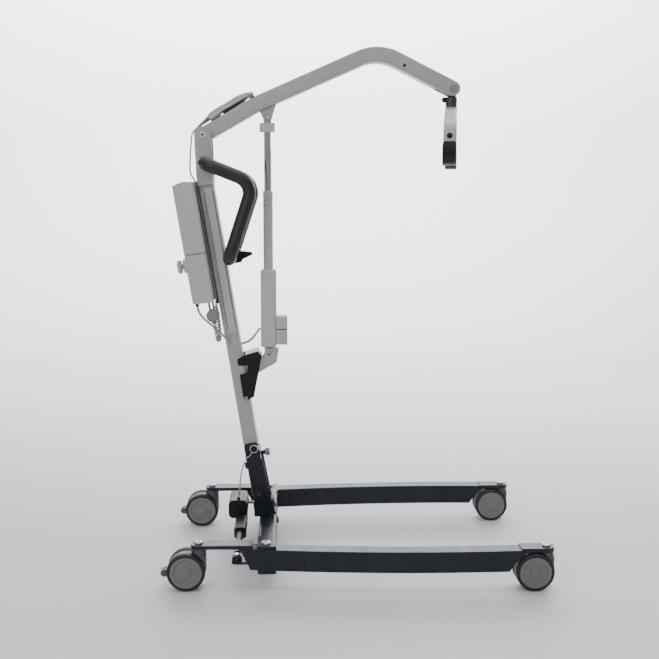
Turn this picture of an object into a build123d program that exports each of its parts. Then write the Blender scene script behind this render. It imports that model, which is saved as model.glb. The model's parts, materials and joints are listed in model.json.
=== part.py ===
"""Patient lift hoist: a wheeled base with spreading legs, a leaning mast, a boom and a spreader bar.

Millimetres, +Z up.  +X is the open end of the legs, and the right-hand leg is at -Y.
The origin is on the floor, in the middle of the hoist's plan.
"""
import math
import os

from build123d import *

# ---------------------------------------------------------------- driving dimensions
WHEEL_R = 50.0                  # twin-wheel caster, 100 mm wheels
WHEEL_INNER, WHEEL_OUTER = 8.0, 30.0    # one wheel's two faces, from the caster's middle plane
TYRE_BORE_R = 42.0
CASTER_TRAIL = 32.0             # wheel axle behind the swivel stem
BRAKE_PIN_BACK, BRAKE_PIN_Z = 33.0, 42.0    # brake pedal's pin, behind the axle
REAR_STEM = (-413.0, 240.0)     # swivel axes, x and distance from the middle
FRONT_STEM = (492.0, 264.0)
REAR_ARM_Z = (110.0, 120.0)     # flat arms that carry the casters
FRONT_ARM_Z = (101.5, 113.0)
ARM_HALF_WIDTH = 20.5

LEG_Z = (54.0, 110.0)           # bowed rectangular tube
LEG_HALF_WIDTH = 20.5
LEG_WALL = 3.0
LEG_REAR = (-306.0, 236.0)      # ends of the leg's centre line, x and distance from the middle
LEG_FRONT = (442.0, 268.0)
LEG_BOW = 18.0                  # how far the centre line stands outside its chord
LEG_PIVOT = (-237.0, 243.0)
LEG_PIN_X, LEG_PIN_Y, SPREAD_Z = -314.0, 240.0, 80.0

EYE_SLOT = 3.2                  # how far a leg pin drifts forward in its eye

BEAM_X = (-260.0, -211.0)       # cross-member between the legs
BEAM_Z = (50.0, 118.0)
BEAM_HALF_LENGTH = 212.0

MAST_PIVOT = (-260.6, 184.0)    # fold pivot, x and z
MAST_LEAN = 9.0                 # degrees, top towards the rear
MAST_HALF_DEPTH, MAST_HALF_WIDTH, MAST_WALL = 20.3, 30.0, 3.0
MAST_LENGTH = 897.0             # above the fold pivot
LOCK_PIN = (8.0, 134.0)         # in the mast's own frame: forward of its axis, above its pivot
BOOM_PIVOT = (-403.0, 1175.0)
HEAD_R, HEAD_PLATE = 22.4, 5.0

HANDLE_TOP = (-398.0, 1100.0)   # cross tube through the mast's head
HANDLE_FOOT = (-332.6, 848.0)   # cross tube in front of the mast
HANDLE_CORNER = (-266.0, 1048.0)
HANDLE_Y = 110.0                # middle of each side loop
HANDLE_TUBE_R, HANDLE_GRIP_R = 11.0, 17.5
HANDLE_BENDS = [30, 45, 30]
GRIP_START_Y, GRIP_END_Y = 38.0, 31.0   # where the foam starts at the mast's head and ends at the clamp

BOOM_HALF_HEIGHT, BOOM_HALF_WIDTH, BOOM_WALL = 20.0, 25.0, 3.0
BOOM_BEND = (-259.0, 1257.0)
BOOM_CROWN = (64.4, 1397.6)     # where the two straight runs would meet
BOOM_CROWN_R = 117.0
BOOM_TIP = (265.0, 1298.5)
BOOM_REAR_SLOPE = math.degrees(math.atan2(BOOM_BEND[1] - BOOM_PIVOT[1], BOOM_BEND[0] - BOOM_PIVOT[0]))

ACTUATOR_X = -231.0             # lifting actuator, upright in front of the mast
ACTUATOR_FOOT_Z, ACTUATOR_HEAD_Z = 578.5, 1222.9
LUG_HALF_WIDTH = 10.0

SPREADER_YAW = -10.5            # the bar hangs turned a little
SPREADER_ARCH_R, SPREADER_TOP_Z = 391.0, 1246.0
HOOK_Y, HOOK_Z = 218.0, 1124.0  # middle of a hook's throat
HOOK_OUTER_R, HOOK_INNER_R = 34.0, 16.0
SHANK_TOP_Z, TIP_TOP_Z = 1150.0, 1148.0

RUN_GAP = 0.05                  # radial clearance of a turning fit
CORD_D, CABLE_D, LEG_CABLE_D, COIL_D = 4.6, 6.0, 4.0, 14.0


# ---------------------------------------------------------------- small helpers
def block(x, y, z):
    """Box between two corners, each axis given as (low, high)."""
    size = (x[1] - x[0], y[1] - y[0], z[1] - z[0])
    return Pos(sum(x) / 2, sum(y) / 2, sum(z) / 2) * Box(*size)


def rounded(part, axis, radius):
    """Round the edges of a part that run along an axis."""
    return fillet(part.edges().filter_by(axis), radius)


def round_x(y, z, radius, x):
    return Pos(sum(x) / 2, y, z) * Rot(0, 90, 0) * Cylinder(radius, x[1] - x[0])


def round_y(x, z, radius, y):
    return Pos(x, sum(y) / 2, z) * Rot(90, 0, 0) * Cylinder(radius, y[1] - y[0])


def round_z(x, y, radius, z):
    return Pos(x, y, sum(z) / 2) * Cylinder(radius, z[1] - z[0])


def side_plate(points, y):
    """Flat plate with an outline in X and Z, between two values of Y."""
    outline = make_face(Polyline(*[(px, y[0], pz) for px, pz in points], close=True))
    return extrude(outline, amount=y[1] - y[0], dir=(0, 1, 0))


def end_plate(points, x):
    """Flat plate with an outline in Y and Z, between two values of X."""
    outline = make_face(Polyline(*[(x[0], py, pz) for py, pz in points], close=True))
    return extrude(outline, amount=x[1] - x[0], dir=(1, 0, 0))


def mirrored(part):
    """The same part on the other side of the hoist's middle plane."""
    return mirror(part, about=Plane.XZ)


def group(*parts):
    """Separate solids that share one node."""
    return Compound(children=[solid for part in parts for solid in part.solids()])


def cord(points, diameter):
    """Tube along straight runs joined by arcs as large as the runs allow."""
    runs = [(Vector(*b) - Vector(*a)) for a, b in zip(points, points[1:])]
    radii = []
    for before, after in zip(runs, runs[1:]):
        half_turn = math.radians(before.get_angle(after)) / 2
        radii.append(0.45 * min(before.length, after.length) / math.tan(half_turn))
    path = FilletPolyline(*points, radius=radii)
    start = Plane(origin=points[0], z_dir=runs[0])
    tube = sweep(start * Circle(diameter / 2), path=path)
    ideal = math.pi * diameter ** 2 / 4 * path.length
    print(f"cord {diameter} mm: length {path.length:.0f}, radii {[round(r) for r in radii]},"
          f" volume ratio {tube.volume / ideal:.4f}")
    return tube


def on_mast(part):
    """Place a part made in the mast's own frame: origin at the fold pivot, +Z up the mast, +X forward."""
    return Pos(MAST_PIVOT[0], 0, MAST_PIVOT[1]) * Rot(0, -MAST_LEAN, 0) * part


def on_boom(part):
    """Place a part made in the boom's rear frame: origin at the boom pivot, +X along the rear run."""
    return Pos(BOOM_PIVOT[0], 0, BOOM_PIVOT[1]) * Rot(0, -BOOM_REAR_SLOPE, 0) * part


def on_spreader(part):
    """Turn a part made square across the hoist to the way the spreader hangs."""
    return Pos(BOOM_TIP[0], 0, 0) * Rot(0, 0, SPREADER_YAW) * Pos(-BOOM_TIP[0], 0, 0) * part


# ---------------------------------------------------------------- casters
def caster_housing(stem, top_z, braked):
    """Moulded body between the two wheels, with its neck under the arm."""
    sx, sy = stem
    axle_x = sx - CASTER_TRAIL
    web = round_y(axle_x, WHEEL_R, WHEEL_R - 2, (sy - WHEEL_INNER + 1, sy + WHEEL_INNER - 1))
    web -= block((axle_x - 60, axle_x + 60), (sy - 20, sy + 20), (-5, 16))
    neck = round_z(sx, sy, 19, (62, top_z - 0.5))
    shroud = block((sx - 6, sx + 19), (sy - 19, sy + 19), (62, 92))
    shroud = rounded(shroud, Axis.Z, 6)
    front = neck + shroud
    for side in (-1, 1):
        inner, outer = sorted((sy + side * (WHEEL_INNER - 1), sy + side * 40))
        front -= round_y(axle_x, WHEEL_R, WHEEL_R + 1.5, (inner, outer))
    body = web + front
    body -= round_y(axle_x, WHEEL_R, 5 + RUN_GAP, (sy - 30, sy + 30))
    body -= round_z(sx, sy, 6 + RUN_GAP, (89, top_z + 1))
    if braked:
        body -= block((axle_x - 60, axle_x - 22), (sy - 5, sy + 5), (22, 62))
        body -= round_y(axle_x - BRAKE_PIN_BACK, BRAKE_PIN_Z, 2.5 + RUN_GAP, (sy - 10, sy + 10))
    return body


def caster_tyres(stem):
    """Two rings with rounded shoulders."""
    axle_x, sy = stem[0] - CASTER_TRAIL, stem[1]
    tyres = []
    for side in (-1, 1):
        span = sorted((sy + side * WHEEL_INNER, sy + side * WHEEL_OUTER))
        tyre = round_y(axle_x, WHEEL_R, WHEEL_R, span)
        tyre = fillet(tyre.edges().filter_by(GeomType.CIRCLE), 4)
        tyres.append(tyre - round_y(axle_x, WHEEL_R, TYRE_BORE_R, (span[0] - 1, span[1] + 1)))
    return group(*tyres)


def caster_hubs(stem):
    """Two shallow-dished discs on one axle."""
    axle_x, sy = stem[0] - CASTER_TRAIL, stem[1]
    hubs = round_y(axle_x, WHEEL_R, 5, (sy - WHEEL_OUTER + 4, sy + WHEEL_OUTER - 4))
    for side in (-1, 1):
        span = sorted((sy + side * (WHEEL_INNER + 0.5), sy + side * (WHEEL_OUTER - 0.5)))
        disc = round_y(axle_x, WHEEL_R, TYRE_BORE_R, span)
        dish = sorted((sy + side * (WHEEL_OUTER - 2.5), sy + side * WHEEL_OUTER))
        disc -= round_y(axle_x, WHEEL_R, 30, dish) - round_y(axle_x, WHEEL_R, 12, dish)
        back = sorted((sy + side * (WHEEL_INNER - 1), sy + side * (WHEEL_INNER + 12)))
        disc -= round_y(axle_x, WHEEL_R, 36, back) - round_y(axle_x, WHEEL_R, 14, back)
        hubs += disc
    return hubs


def brake_pedal(stem):
    """Foot lever behind the wheels, on a pin between them."""
    axle_x, sy = stem[0] - CASTER_TRAIL, stem[1]
    tongue = block((axle_x - 56, axle_x - BRAKE_PIN_BACK + 4), (sy - 4.5, sy + 4.5), (35, 49))
    pad = block((axle_x - 67.5, axle_x - 52.5), (sy - 15, sy + 15), (34, 54))
    pad = rounded(pad, Axis.Z, 6)
    pin = round_y(axle_x - BRAKE_PIN_BACK, BRAKE_PIN_Z, 2.5, (sy - 6.8, sy + 6.8))
    return tongue + pad + pin


# ---------------------------------------------------------------- legs
def leg_arc_solid(half_width, z):
    """Ring of a large circle that the leg's centre line lies on."""
    ax, ay = LEG_REAR
    bx, by = LEG_FRONT
    chord = math.hypot(bx - ax, by - ay)
    radius = (chord ** 2 / 4 + LEG_BOW ** 2) / (2 * LEG_BOW)
    outward = (-(by - ay) / chord, (bx - ax) / chord)
    cx = (ax + bx) / 2 - outward[0] * (radius - LEG_BOW)
    cy = (ay + by) / 2 - outward[1] * (radius - LEG_BOW)
    ring = round_z(cx, cy, radius + half_width, z) - round_z(cx, cy, radius - half_width, z)
    return ring & block((-400, 520), (150, 400), z)


def caster_arm(stem, x_leg, z):
    """Flat bar from a leg to a caster's stem, with a rounded end and a hole for the stem bolt."""
    x, y = stem
    bar = block(sorted((x, x_leg)), (y - ARM_HALF_WIDTH, y + ARM_HALF_WIDTH), z)
    return bar + round_z(x, y, ARM_HALF_WIDTH, z) - round_z(x, y, 6, (z[0] - 5, z[1] + 5))


def left_leg_part():
    """Bowed tube with a sloped rear end, an undercut front end and the two caster arms welded on."""
    x_rear, x_front = LEG_REAR[0], 430.0
    side = [(x_rear, LEG_Z[1]), (-278, LEG_Z[0]), (392, LEG_Z[0]), (407, 76), (x_front, 98),
            (x_front, LEG_Z[1])]
    leg = leg_arc_solid(LEG_HALF_WIDTH, LEG_Z) & side_plate(side, (150, 400))
    hollow_z = (LEG_Z[0] + LEG_WALL, LEG_Z[1] - LEG_WALL)
    leg -= leg_arc_solid(LEG_HALF_WIDTH - LEG_WALL, hollow_z) & block((-268, 382), (150, 400), hollow_z)

    leg += round_z(*LEG_PIVOT, 13, LEG_Z)
    leg -= round_z(*LEG_PIVOT, 8 + RUN_GAP, (LEG_Z[0] - 5, LEG_Z[1] + 5))

    rear_arm = caster_arm(REAR_STEM, -272, REAR_ARM_Z)
    front_arm = caster_arm(FRONT_STEM, 424, FRONT_ARM_Z)

    lug = block((LEG_PIN_X, -280), (LEG_PIN_Y - 14, LEG_PIN_Y + 14), (SPREAD_Z - 14, SPREAD_Z - 8))
    lug += round_z(LEG_PIN_X, LEG_PIN_Y, 14, (SPREAD_Z - 14, SPREAD_Z - 8))
    lug -= round_z(LEG_PIN_X, LEG_PIN_Y, 5, (SPREAD_Z - 20, SPREAD_Z))
    return leg + rear_arm + front_arm + lug


def domed_bolt(x, y, radius, shank, head_r, head_h):
    """Bolt standing upright: a shank between two heights and a rounded head above it."""
    head = round_z(x, y, head_r, (shank[1], shank[1] + head_h))
    head = fillet(head.edges().group_by(Axis.Z)[-1], head_h * 0.6)
    return round_z(x, y, radius, shank) + head


def left_leg_bolts_part():
    """Two caster stem bolts and the pin that the spreading actuator pulls."""
    rear = domed_bolt(*REAR_STEM, 5.95, (90, REAR_ARM_Z[1]), 11, 6)
    front = domed_bolt(*FRONT_STEM, 5.95, (90, FRONT_ARM_Z[1]), 11, 6)
    pin = domed_bolt(LEG_PIN_X, LEG_PIN_Y, 4.95, (SPREAD_Z - 18, SPREAD_Z + 7), 8, 4)
    return group(rear, front, pin)


# ---------------------------------------------------------------- base
def cross_member_part():
    """Rectangular beam with a plate above and below each leg."""
    beam = block(BEAM_X, (-BEAM_HALF_LENGTH, BEAM_HALF_LENGTH), BEAM_Z)
    beam = rounded(beam, Axis.Y, 9)
    inside = block((BEAM_X[0] + 3, BEAM_X[1] - 3), (-BEAM_HALF_LENGTH + 3, BEAM_HALF_LENGTH - 3),
                   (BEAM_Z[0] + 3, BEAM_Z[1] - 3))
    beam -= rounded(inside, Axis.Y, 6)
    for side in (-1, 1):
        span = sorted((side * (BEAM_HALF_LENGTH - 30), side * (LEG_PIVOT[1] + 21)))
        for z in ((LEG_Z[1] + 0.5, BEAM_Z[1]), (LEG_Z[0] - 11, LEG_Z[0] - 0.5)):
            plate = rounded(block(BEAM_X, span, z), Axis.Z, 8)
            beam += plate
        beam -= round_z(LEG_PIVOT[0], side * LEG_PIVOT[1], 8, (30, 130))
    stop_bump = round_x(0, 95, 9, (BEAM_X[1] - 1, BEAM_X[1] + 5))
    return beam + stop_bump


def mast_socket_part():
    """Two cheeks either side of the mast's foot, tied by a low block and by a bridge behind the mast.

    The lock pin's seats are open to the front, so the pin leaves them as the mast folds forward.
    """
    outline = [(-24, -66), (38, -66), (30, -20), (26.5, 96), (21.9, 101), (21.9, 148), (-18.5, 148),
               (-18.5, -20)]
    cheeks = []
    for y in ((30.5, 36.0), (-36.0, -30.5)):
        cheek = side_plate(outline, y)
        top = cheek.edges().filter_by(Axis.Y).group_by(Axis.Z)[-1]
        cheeks.append(fillet(top, 9))
    foot = block((-22, 34), (-30.5, 30.5), (-66, -24))
    bridge = block((-25.5, -20.8), (-36, 36), (78, 96))
    bridge += block((-25.5, -15), (30.5, 36), (78, 96)) + block((-25.5, -15), (-36, -30.5), (78, 96))
    bridge -= round_x(0, 87, 2.2, (-30, -15))
    socket = on_mast(cheeks[0] + cheeks[1] + foot + bridge)
    socket -= block((-330, -180), (-60, 60), (60, BEAM_Z[1]))
    socket -= on_mast(round_y(0, 0, 10, (-50, 50)))
    seat = round_y(*LOCK_PIN, 5 + RUN_GAP, (-50, 50))
    seat += block((LOCK_PIN[0], 30), (-50, 50), (LOCK_PIN[1] - 6.8, LOCK_PIN[1] + 5 + RUN_GAP))
    return socket - on_mast(seat)


def pivot_bolts_part():
    """The legs' two pivot bolts and the mast's fold bolt with its round caps."""
    legs = []
    for side in (-1, 1):
        legs.append(domed_bolt(LEG_PIVOT[0], side * LEG_PIVOT[1], 8, (LEG_Z[0] - 14, BEAM_Z[1]), 12, 7))
    fold = round_y(0, 0, 10, (-36, 36))
    for side in (-1, 1):
        cap = round_y(0, 0, 15, sorted((side * 36, side * 43)))
        rim = cap.edges().filter_by(GeomType.CIRCLE).sort_by(Axis.Y)[-1 if side > 0 else 0]
        fold += fillet(rim, 4)
    return group(*legs, on_mast(fold))


# ---------------------------------------------------------------- leg-spreading actuator
def spread_motor_part():
    """Geared motor and outer tube, lying across the hoist behind the mast, with its far eye."""
    x, z = LEG_PIN_X, SPREAD_Z
    motor = rounded(block((-352, -297), (46, 138), (84, 138)), Axis.Y, 14)
    motor += round_z(-323, 60, 5, (136, 144))
    cap = round_y(-324.5, 112, 20, (138, 152))
    tube = rounded(block((x - 17, x + 17), (-62, 60), (z - 16, z + 16)), Axis.Y, 8)
    arm = round_y(x, z, 9, (60, LEG_PIN_Y - 24)) + round_y(x, z, 5.5, (LEG_PIN_Y - 26, LEG_PIN_Y - 8))
    eye = round_z(x, LEG_PIN_Y, 13, (z - 7, z + 6.5)) - eye_slot(LEG_PIN_Y)
    body = motor + cap + tube + arm + eye
    return body - round_y(x, z, 9 + RUN_GAP, (-70, 42))


def eye_slot(pin_y):
    """Hole for a leg's pin, long enough along X for the pin's short arc."""
    z = (SPREAD_Z - 20, SPREAD_Z + 20)
    rear, front = LEG_PIN_X, LEG_PIN_X + EYE_SLOT
    slot = block((rear, front), (pin_y - 5.3, pin_y + 5.3), z)
    return slot + round_z(rear, pin_y, 5.3, z) + round_z(front, pin_y, 5.3, z)


def spread_rod_part():
    """Push rod with an eye for the right leg's pin."""
    x, z = LEG_PIN_X, SPREAD_Z
    rod = round_y(x, z, 9, (-LEG_PIN_Y + 24, -5))
    neck = round_y(x, z, 5.5, (-LEG_PIN_Y + 8, -LEG_PIN_Y + 26))
    eye = round_z(x, -LEG_PIN_Y, 13, (z - 7, z + 6.5))
    return (rod + neck + eye) - eye_slot(-LEG_PIN_Y)


# ---------------------------------------------------------------- mast
def mast_part():
    """Rectangular tube with a round foot on the fold pivot and two head plates for the boom."""
    depth = (-MAST_HALF_DEPTH, MAST_HALF_DEPTH)
    width = (-MAST_HALF_WIDTH, MAST_HALF_WIDTH)
    tube = rounded(block(depth, width, (0, MAST_LENGTH)), Axis.Z, 5)
    inner_depth = (depth[0] + MAST_WALL, depth[1] - MAST_WALL)
    inner_width = (width[0] + MAST_WALL, width[1] - MAST_WALL)
    tube -= rounded(block(inner_depth, inner_width, (26, MAST_LENGTH - 5)), Axis.Z, 2)
    tube += round_y(0, 0, MAST_HALF_DEPTH, width)
    tube -= round_y(0, 0, 10 + RUN_GAP, (-50, 50))
    tube -= round_y(*LOCK_PIN, 5 + RUN_GAP, (-50, 50))
    mast = on_mast(tube)

    px, pz = BOOM_PIVOT
    low = MAST_LENGTH - 28
    foot_rear = on_mast(Pos(-MAST_HALF_DEPTH, 0, low) * Box(1, 1, 1)).center()
    foot_front = on_mast(Pos(MAST_HALF_DEPTH, 0, low) * Box(1, 1, 1)).center()
    outline = [(px - HEAD_R, pz), (-421.5, 1066), (foot_rear.X, foot_rear.Z),
               (foot_front.X, foot_front.Z), (-377.3, 1062), (px + HEAD_R, pz)]
    for side in (-1, 1):
        y = sorted((side * MAST_HALF_WIDTH, side * (MAST_HALF_WIDTH + HEAD_PLATE)))
        plate = side_plate(outline, y) + round_y(px, pz, HEAD_R, y)
        mast += plate
    mast -= round_y(px, pz, 7 + RUN_GAP, (-50, 50))
    return mast - round_y(*HANDLE_TOP, HANDLE_TUBE_R, (-50, 50))


def cable_cover_part():
    """Long round-ended cover on the mast's right side."""
    plate = block((-7.5, 15.5), (-35.0, -MAST_HALF_WIDTH), (474, 852))
    plate += round_y(4, 474, 11.5, (-35.0, -MAST_HALF_WIDTH))
    plate += round_y(4, 852, 11.5, (-35.0, -MAST_HALF_WIDTH))
    return on_mast(plate)


def mast_screws_part():
    """The cable cover's screws and the park bracket's bolts."""
    screws = [round_y(3, w, 3, (-36.2, -35.0)) for w in (492, 606, 719, 833)]
    for side in (-1, 1):
        screws.append(round_y(10, 277, 5, sorted((side * 34.3, side * 37.0))))
    return group(*[on_mast(screw) for screw in screws])


def box_bracket_part():
    """Black rail between the mast and the control box."""
    return on_mast(block((-28.5, -MAST_HALF_DEPTH), (-17, 17), (548, 884)))


def control_box_section(w):
    """Eight-sided box behind the mast, between two heights."""
    outline = Polyline((-28.5, -80, w[0]), (-28.5, 80, w[0]), (-58, 80, w[0]), (-88, 54, w[0]),
                       (-88, -54, w[0]), (-58, -80, w[0]), close=True)
    return rounded(extrude(make_face(outline), amount=w[1] - w[0], dir=(0, 0, 1)), Axis.Z, 5)


def control_unit_part():
    """Lower half of the box, with the emergency-stop collar and the cable gland."""
    unit = control_box_section((560, 693.5))
    unit += round_x(0, 662, 19.5, (-100, -87))
    unit -= round_x(0, 662, 7 + RUN_GAP, (-101, -84))
    unit += round_z(-78, -36, 5.5, (552, 561))
    return on_mast(unit)


def battery_part():
    """Upper half of the box, with a sloping top and a hand notch at the front."""
    profile = [(-90, 694.5), (-90, 881), (-45, 892), (-41, 883), (-20, 882), (-20, 694.5)]
    battery = control_box_section((694.5, 900)) & side_plate(profile, (-90, 90))
    return on_mast(battery - round_z(-28.5, -26, 5, (870, 900)))


def stop_button_part():
    """Mushroom button and its stem."""
    head = round_x(0, 662, 18.5, (-117.5, -104.5))
    head = fillet(head.edges().filter_by(GeomType.CIRCLE).group_by(Axis.X)[0], 4)
    return on_mast(head + round_x(0, 662, 7, (-106, -92)))


def handset_plug_part():
    """Round plug under the control box with two prongs."""
    body = fillet(round_y(-39.5, 521, 18, (-60, -36)).edges().filter_by(GeomType.CIRCLE), 4)
    for v in (-45, -34):
        body += round_z(v, -48, 3, (536, 560))
    return on_mast(body + round_z(-39.5, -48, 7.5, (497, 510)))


def handle_run(points, radii, radius):
    """Round tube along a bent centre line."""
    path = FilletPolyline(*points, radius=radii)
    direction = Vector(*points[1]) - Vector(*points[0])
    return sweep(Plane(origin=points[0], z_dir=direction) * Circle(radius), path=path)


def handle_points(side):
    """Corners of one loop: out from the mast's head, forward, down and back in to the clamp."""
    top, corner, foot = HANDLE_TOP, HANDLE_CORNER, HANDLE_FOOT
    y = side * HANDLE_Y
    return [(top[0], 0, top[1]), (top[0], y, top[1]), (corner[0], y, corner[1]), (foot[0], y, foot[1]),
            (foot[0], 0, foot[1])]


def handle_tube_part():
    """Two D-shaped loops bent from one tube."""
    loops = [handle_run(handle_points(side), HANDLE_BENDS, HANDLE_TUBE_R) for side in (-1, 1)]
    return loops[0] + loops[1]


def handle_grips_part():
    """Foam sleeves on the two loops."""
    grips = []
    for side in (-1, 1):
        top, first, corner, last, foot = handle_points(side)
        start = (top[0], side * GRIP_START_Y, top[2])
        end = (foot[0], side * GRIP_END_Y, foot[2])
        points = [start, first, corner, last, end]
        sleeve = handle_run(points, HANDLE_BENDS, HANDLE_GRIP_R)
        grips.append(sleeve - handle_run(points, HANDLE_BENDS, HANDLE_TUBE_R))
    return group(*grips)


def handle_clamp_part():
    """Block that holds the handle's lower tube to the mast."""
    clamp = rounded(block((MAST_HALF_DEPTH, 62), (-24, 24), (650, 686)), Axis.Y, 6)
    clamp -= block((43.6, 70), (-7, 7), (640, 690))
    fx, fz = HANDLE_FOOT
    return on_mast(clamp) - round_y(fx, fz, HANDLE_TUBE_R, (-60, 60))


def clamp_lever_part():
    """Tapered lever on the clamp."""
    outline = [(50, 660), (56, 654), (90, 664), (92, 668), (90, 672), (55, 681), (50, 677)]
    return on_mast(side_plate(outline, (-6.5, 6.5)))


def park_bracket_part():
    """Bent black plate around the mast that the lowered boom's end rests in."""
    outline = [(3.5, 388), (27, 397.5), (64, 402), (70, 384), (55.5, 342.5), (32, 277.5), (10, 270),
               (2.5, 276), (3.4, 345), (25, 346), (29, 367), (3.5, 371)]
    bracket = side_plate(outline, (30.3, 34.3)) + side_plate(outline, (-34.3, -30.3))
    web = [(27, 394.5), (27, 397.5), (64, 402), (68, 390), (65.5, 389.5), (62, 398.5)]
    return on_mast(bracket + side_plate(web, (-34.3, 34.3)))


def actuator_bracket_part():
    """Two bright plates that carry the lifting actuator's foot."""
    outline = [(20.3, 318), (52, 338), (109, 359.6), (121, 396), (86, 403), (76, 384), (60, 374),
               (20.3, 370)]
    foot = Pos(ACTUATOR_X, 0, ACTUATOR_FOOT_Z)
    plates = on_mast(side_plate(outline, (11, 15)) + side_plate(outline, (-15, -11)))
    plates += on_mast(block((20.3, 24.3), (-15, 15), (318, 370)))
    plates -= foot * Rot(90, 0, 0) * Cylinder(6, 60)
    pin = round_y(ACTUATOR_X, ACTUATOR_FOOT_Z, 6, (-15, 15))
    for side in (-1, 1):
        pin += round_y(ACTUATOR_X, ACTUATOR_FOOT_Z, 9, sorted((side * 15, side * 19)))
    return group(plates, pin)


# ---------------------------------------------------------------- mast fold locks
def locking_knob_part():
    """Clamping knob on the mast's front face."""
    knob = round_x(0, 108, 10.5, (34, 48))
    knob = fillet(knob.edges().filter_by(GeomType.CIRCLE), 2.5)
    return on_mast(knob + round_x(0, 108, 6, (22, 36)) + round_x(0, 108, 4, (20.8, 24)))


def locking_pin_part():
    """Quick-release pin through the socket and the mast, with a pull ring."""
    v, w = LOCK_PIN
    pin = round_y(v, w, 5, (-44, 42)) + round_y(v, w, 8, (-46, -37))
    ring = Pos(v + 1, -48, w) * Rot(90, 0, 0) * Torus(10.5, 1.6)
    lug = block((v, v + 11), (-48.5, -44), (w - 1.2, w + 1.2))
    return on_mast(pin + ring + lug)


# ---------------------------------------------------------------- boom
def boom_line():
    """Centre line of the boom from its pivot to its tip."""
    points = [(x, 0, z) for x, z in (BOOM_PIVOT, BOOM_BEND, BOOM_CROWN, BOOM_TIP)]
    return FilletPolyline(*points, radius=[300, BOOM_CROWN_R])


def boom_tube(half_height, half_width):
    """Bar of rectangular section along the boom's centre line."""
    direction = Vector(BOOM_BEND[0] - BOOM_PIVOT[0], 0, BOOM_BEND[1] - BOOM_PIVOT[1])
    plane = Plane(origin=(BOOM_PIVOT[0], 0, BOOM_PIVOT[1]), x_dir=(0, 1, 0), z_dir=direction)
    return sweep(plane * Rectangle(2 * half_width, 2 * half_height), path=boom_line())


def boom_part():
    """Bent tube with rounded ends, a tip slot for the hanger and the actuator's bracket welded below."""
    boom = boom_tube(BOOM_HALF_HEIGHT, BOOM_HALF_WIDTH)
    boom -= boom_tube(BOOM_HALF_HEIGHT - BOOM_WALL, BOOM_HALF_WIDTH - BOOM_WALL)
    width = (-BOOM_HALF_WIDTH, BOOM_HALF_WIDTH)
    boom += round_y(*BOOM_PIVOT, BOOM_HALF_HEIGHT, width)
    boom += round_y(*BOOM_TIP, BOOM_HALF_HEIGHT, width)
    boom -= round_y(*BOOM_PIVOT, 7, (-40, 40))
    tx, tz = BOOM_TIP
    boom -= round_y(tx, tz, 6, (-40, 40))
    boom -= block((tx - 42, tx + 30), (-8.5, 8.5), (tz - 40, tz + 15.5))

    bracket = [(-262, 1262), (-208, 1286), (-206, 1262), (-219.6, 1219), (-242.4, 1219)]
    for y in ((11, 15), (-15, -11)):
        plate = side_plate(bracket, y) + round_y(ACTUATOR_X, ACTUATOR_HEAD_Z, 12, y)
        boom += plate - boom_tube(BOOM_HALF_HEIGHT - 0.5, BOOM_HALF_WIDTH + 5)
    for y in ((15, 19), (-19, -15)):
        boom += round_y(ACTUATOR_X, ACTUATOR_HEAD_Z, 8, y)
    return boom


def boom_pins_part():
    """Boom's pivot pin with its washers and heads, and the pin at the tip."""
    pivot = round_y(*BOOM_PIVOT, 7, (-36, 36))
    tip = round_y(*BOOM_TIP, 6, (-25, 25))
    for side in (-1, 1):
        pivot += round_y(*BOOM_PIVOT, 15, sorted((side * BOOM_HALF_WIDTH, side * 29.7)))
        pivot += round_y(*BOOM_PIVOT, 10, sorted((side * 35.3, side * 39)))
        tip += round_y(*BOOM_TIP, 9.5, sorted((side * BOOM_HALF_WIDTH, side * 29)))
    return group(pivot, tip)


ROCKERS = (73, 112)             # the two rocker pads along the handset
HANDSET_PROFILE = [(40, 20.6), (36, 24), (36, 37), (44, 41.5), (92, 42), (128, 43.5), (156, 39),
                   (172, 31), (171, 20.6), (163, 20.6), (155, 27), (72, 27), (62, 20.6)]


def handset_part():
    """Hand control hooked over the boom, with its ribbed tail."""
    body = side_plate(HANDSET_PROFILE, (-27, 27))
    for u in ROCKERS:
        body -= block((u - 14, u + 14), (-14, 14), (38, 50))
    tail = Pos(19.7, 0, 29.6) * Rot(0, -98.4, 0) * Cone(6.5, 3.2, 47)
    return on_boom(body + tail)


def rocker_part(u):
    """Rocker pad in the handset's face."""
    pad = block((u - 13.5, u + 13.5), (-13.5, 13.5), (39.8, 44.6))
    return on_boom(rounded(pad, Axis.Z, 4))


# ---------------------------------------------------------------- lifting actuator
def actuator_housing_part():
    """Square gear housing with its foot lug."""
    x, z = ACTUATOR_X, ACTUATOR_FOOT_Z
    housing = rounded(block((x - 21.5, x + 21.5), (-22, 22), (600, 812)), Axis.Z, 7)
    housing = chamfer(housing.faces().sort_by(Axis.Z)[-1].edges(), 3)
    lug = block((x - 12, x + 12), (-LUG_HALF_WIDTH, LUG_HALF_WIDTH), (z, 601))
    lug += round_y(x, z, 12, (-LUG_HALF_WIDTH, LUG_HALF_WIDTH))
    lug -= round_y(x, z, 6 + RUN_GAP, (-20, 20))
    housing -= round_z(x, 0, 13.5, (640, 815))
    return housing + lug


def actuator_motor_part():
    """Motor pod on the housing's front face."""
    pod = rounded(block((ACTUATOR_X + 21.5, -179), (-25, 25), (607, 686)), Axis.Z, 9)
    return fillet(pod.faces().sort_by(Axis.Z)[-1].edges(), 4)


def actuator_tube_part():
    """Outer tube that stands in the housing."""
    x = ACTUATOR_X
    return round_z(x, 0, 13.4, (650, 1026)) - round_z(x, 0, 10 + RUN_GAP, (655, 1030))


def actuator_rod_part():
    """Chromed rod."""
    return round_z(ACTUATOR_X, 0, 10, (800, 1186))


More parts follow.
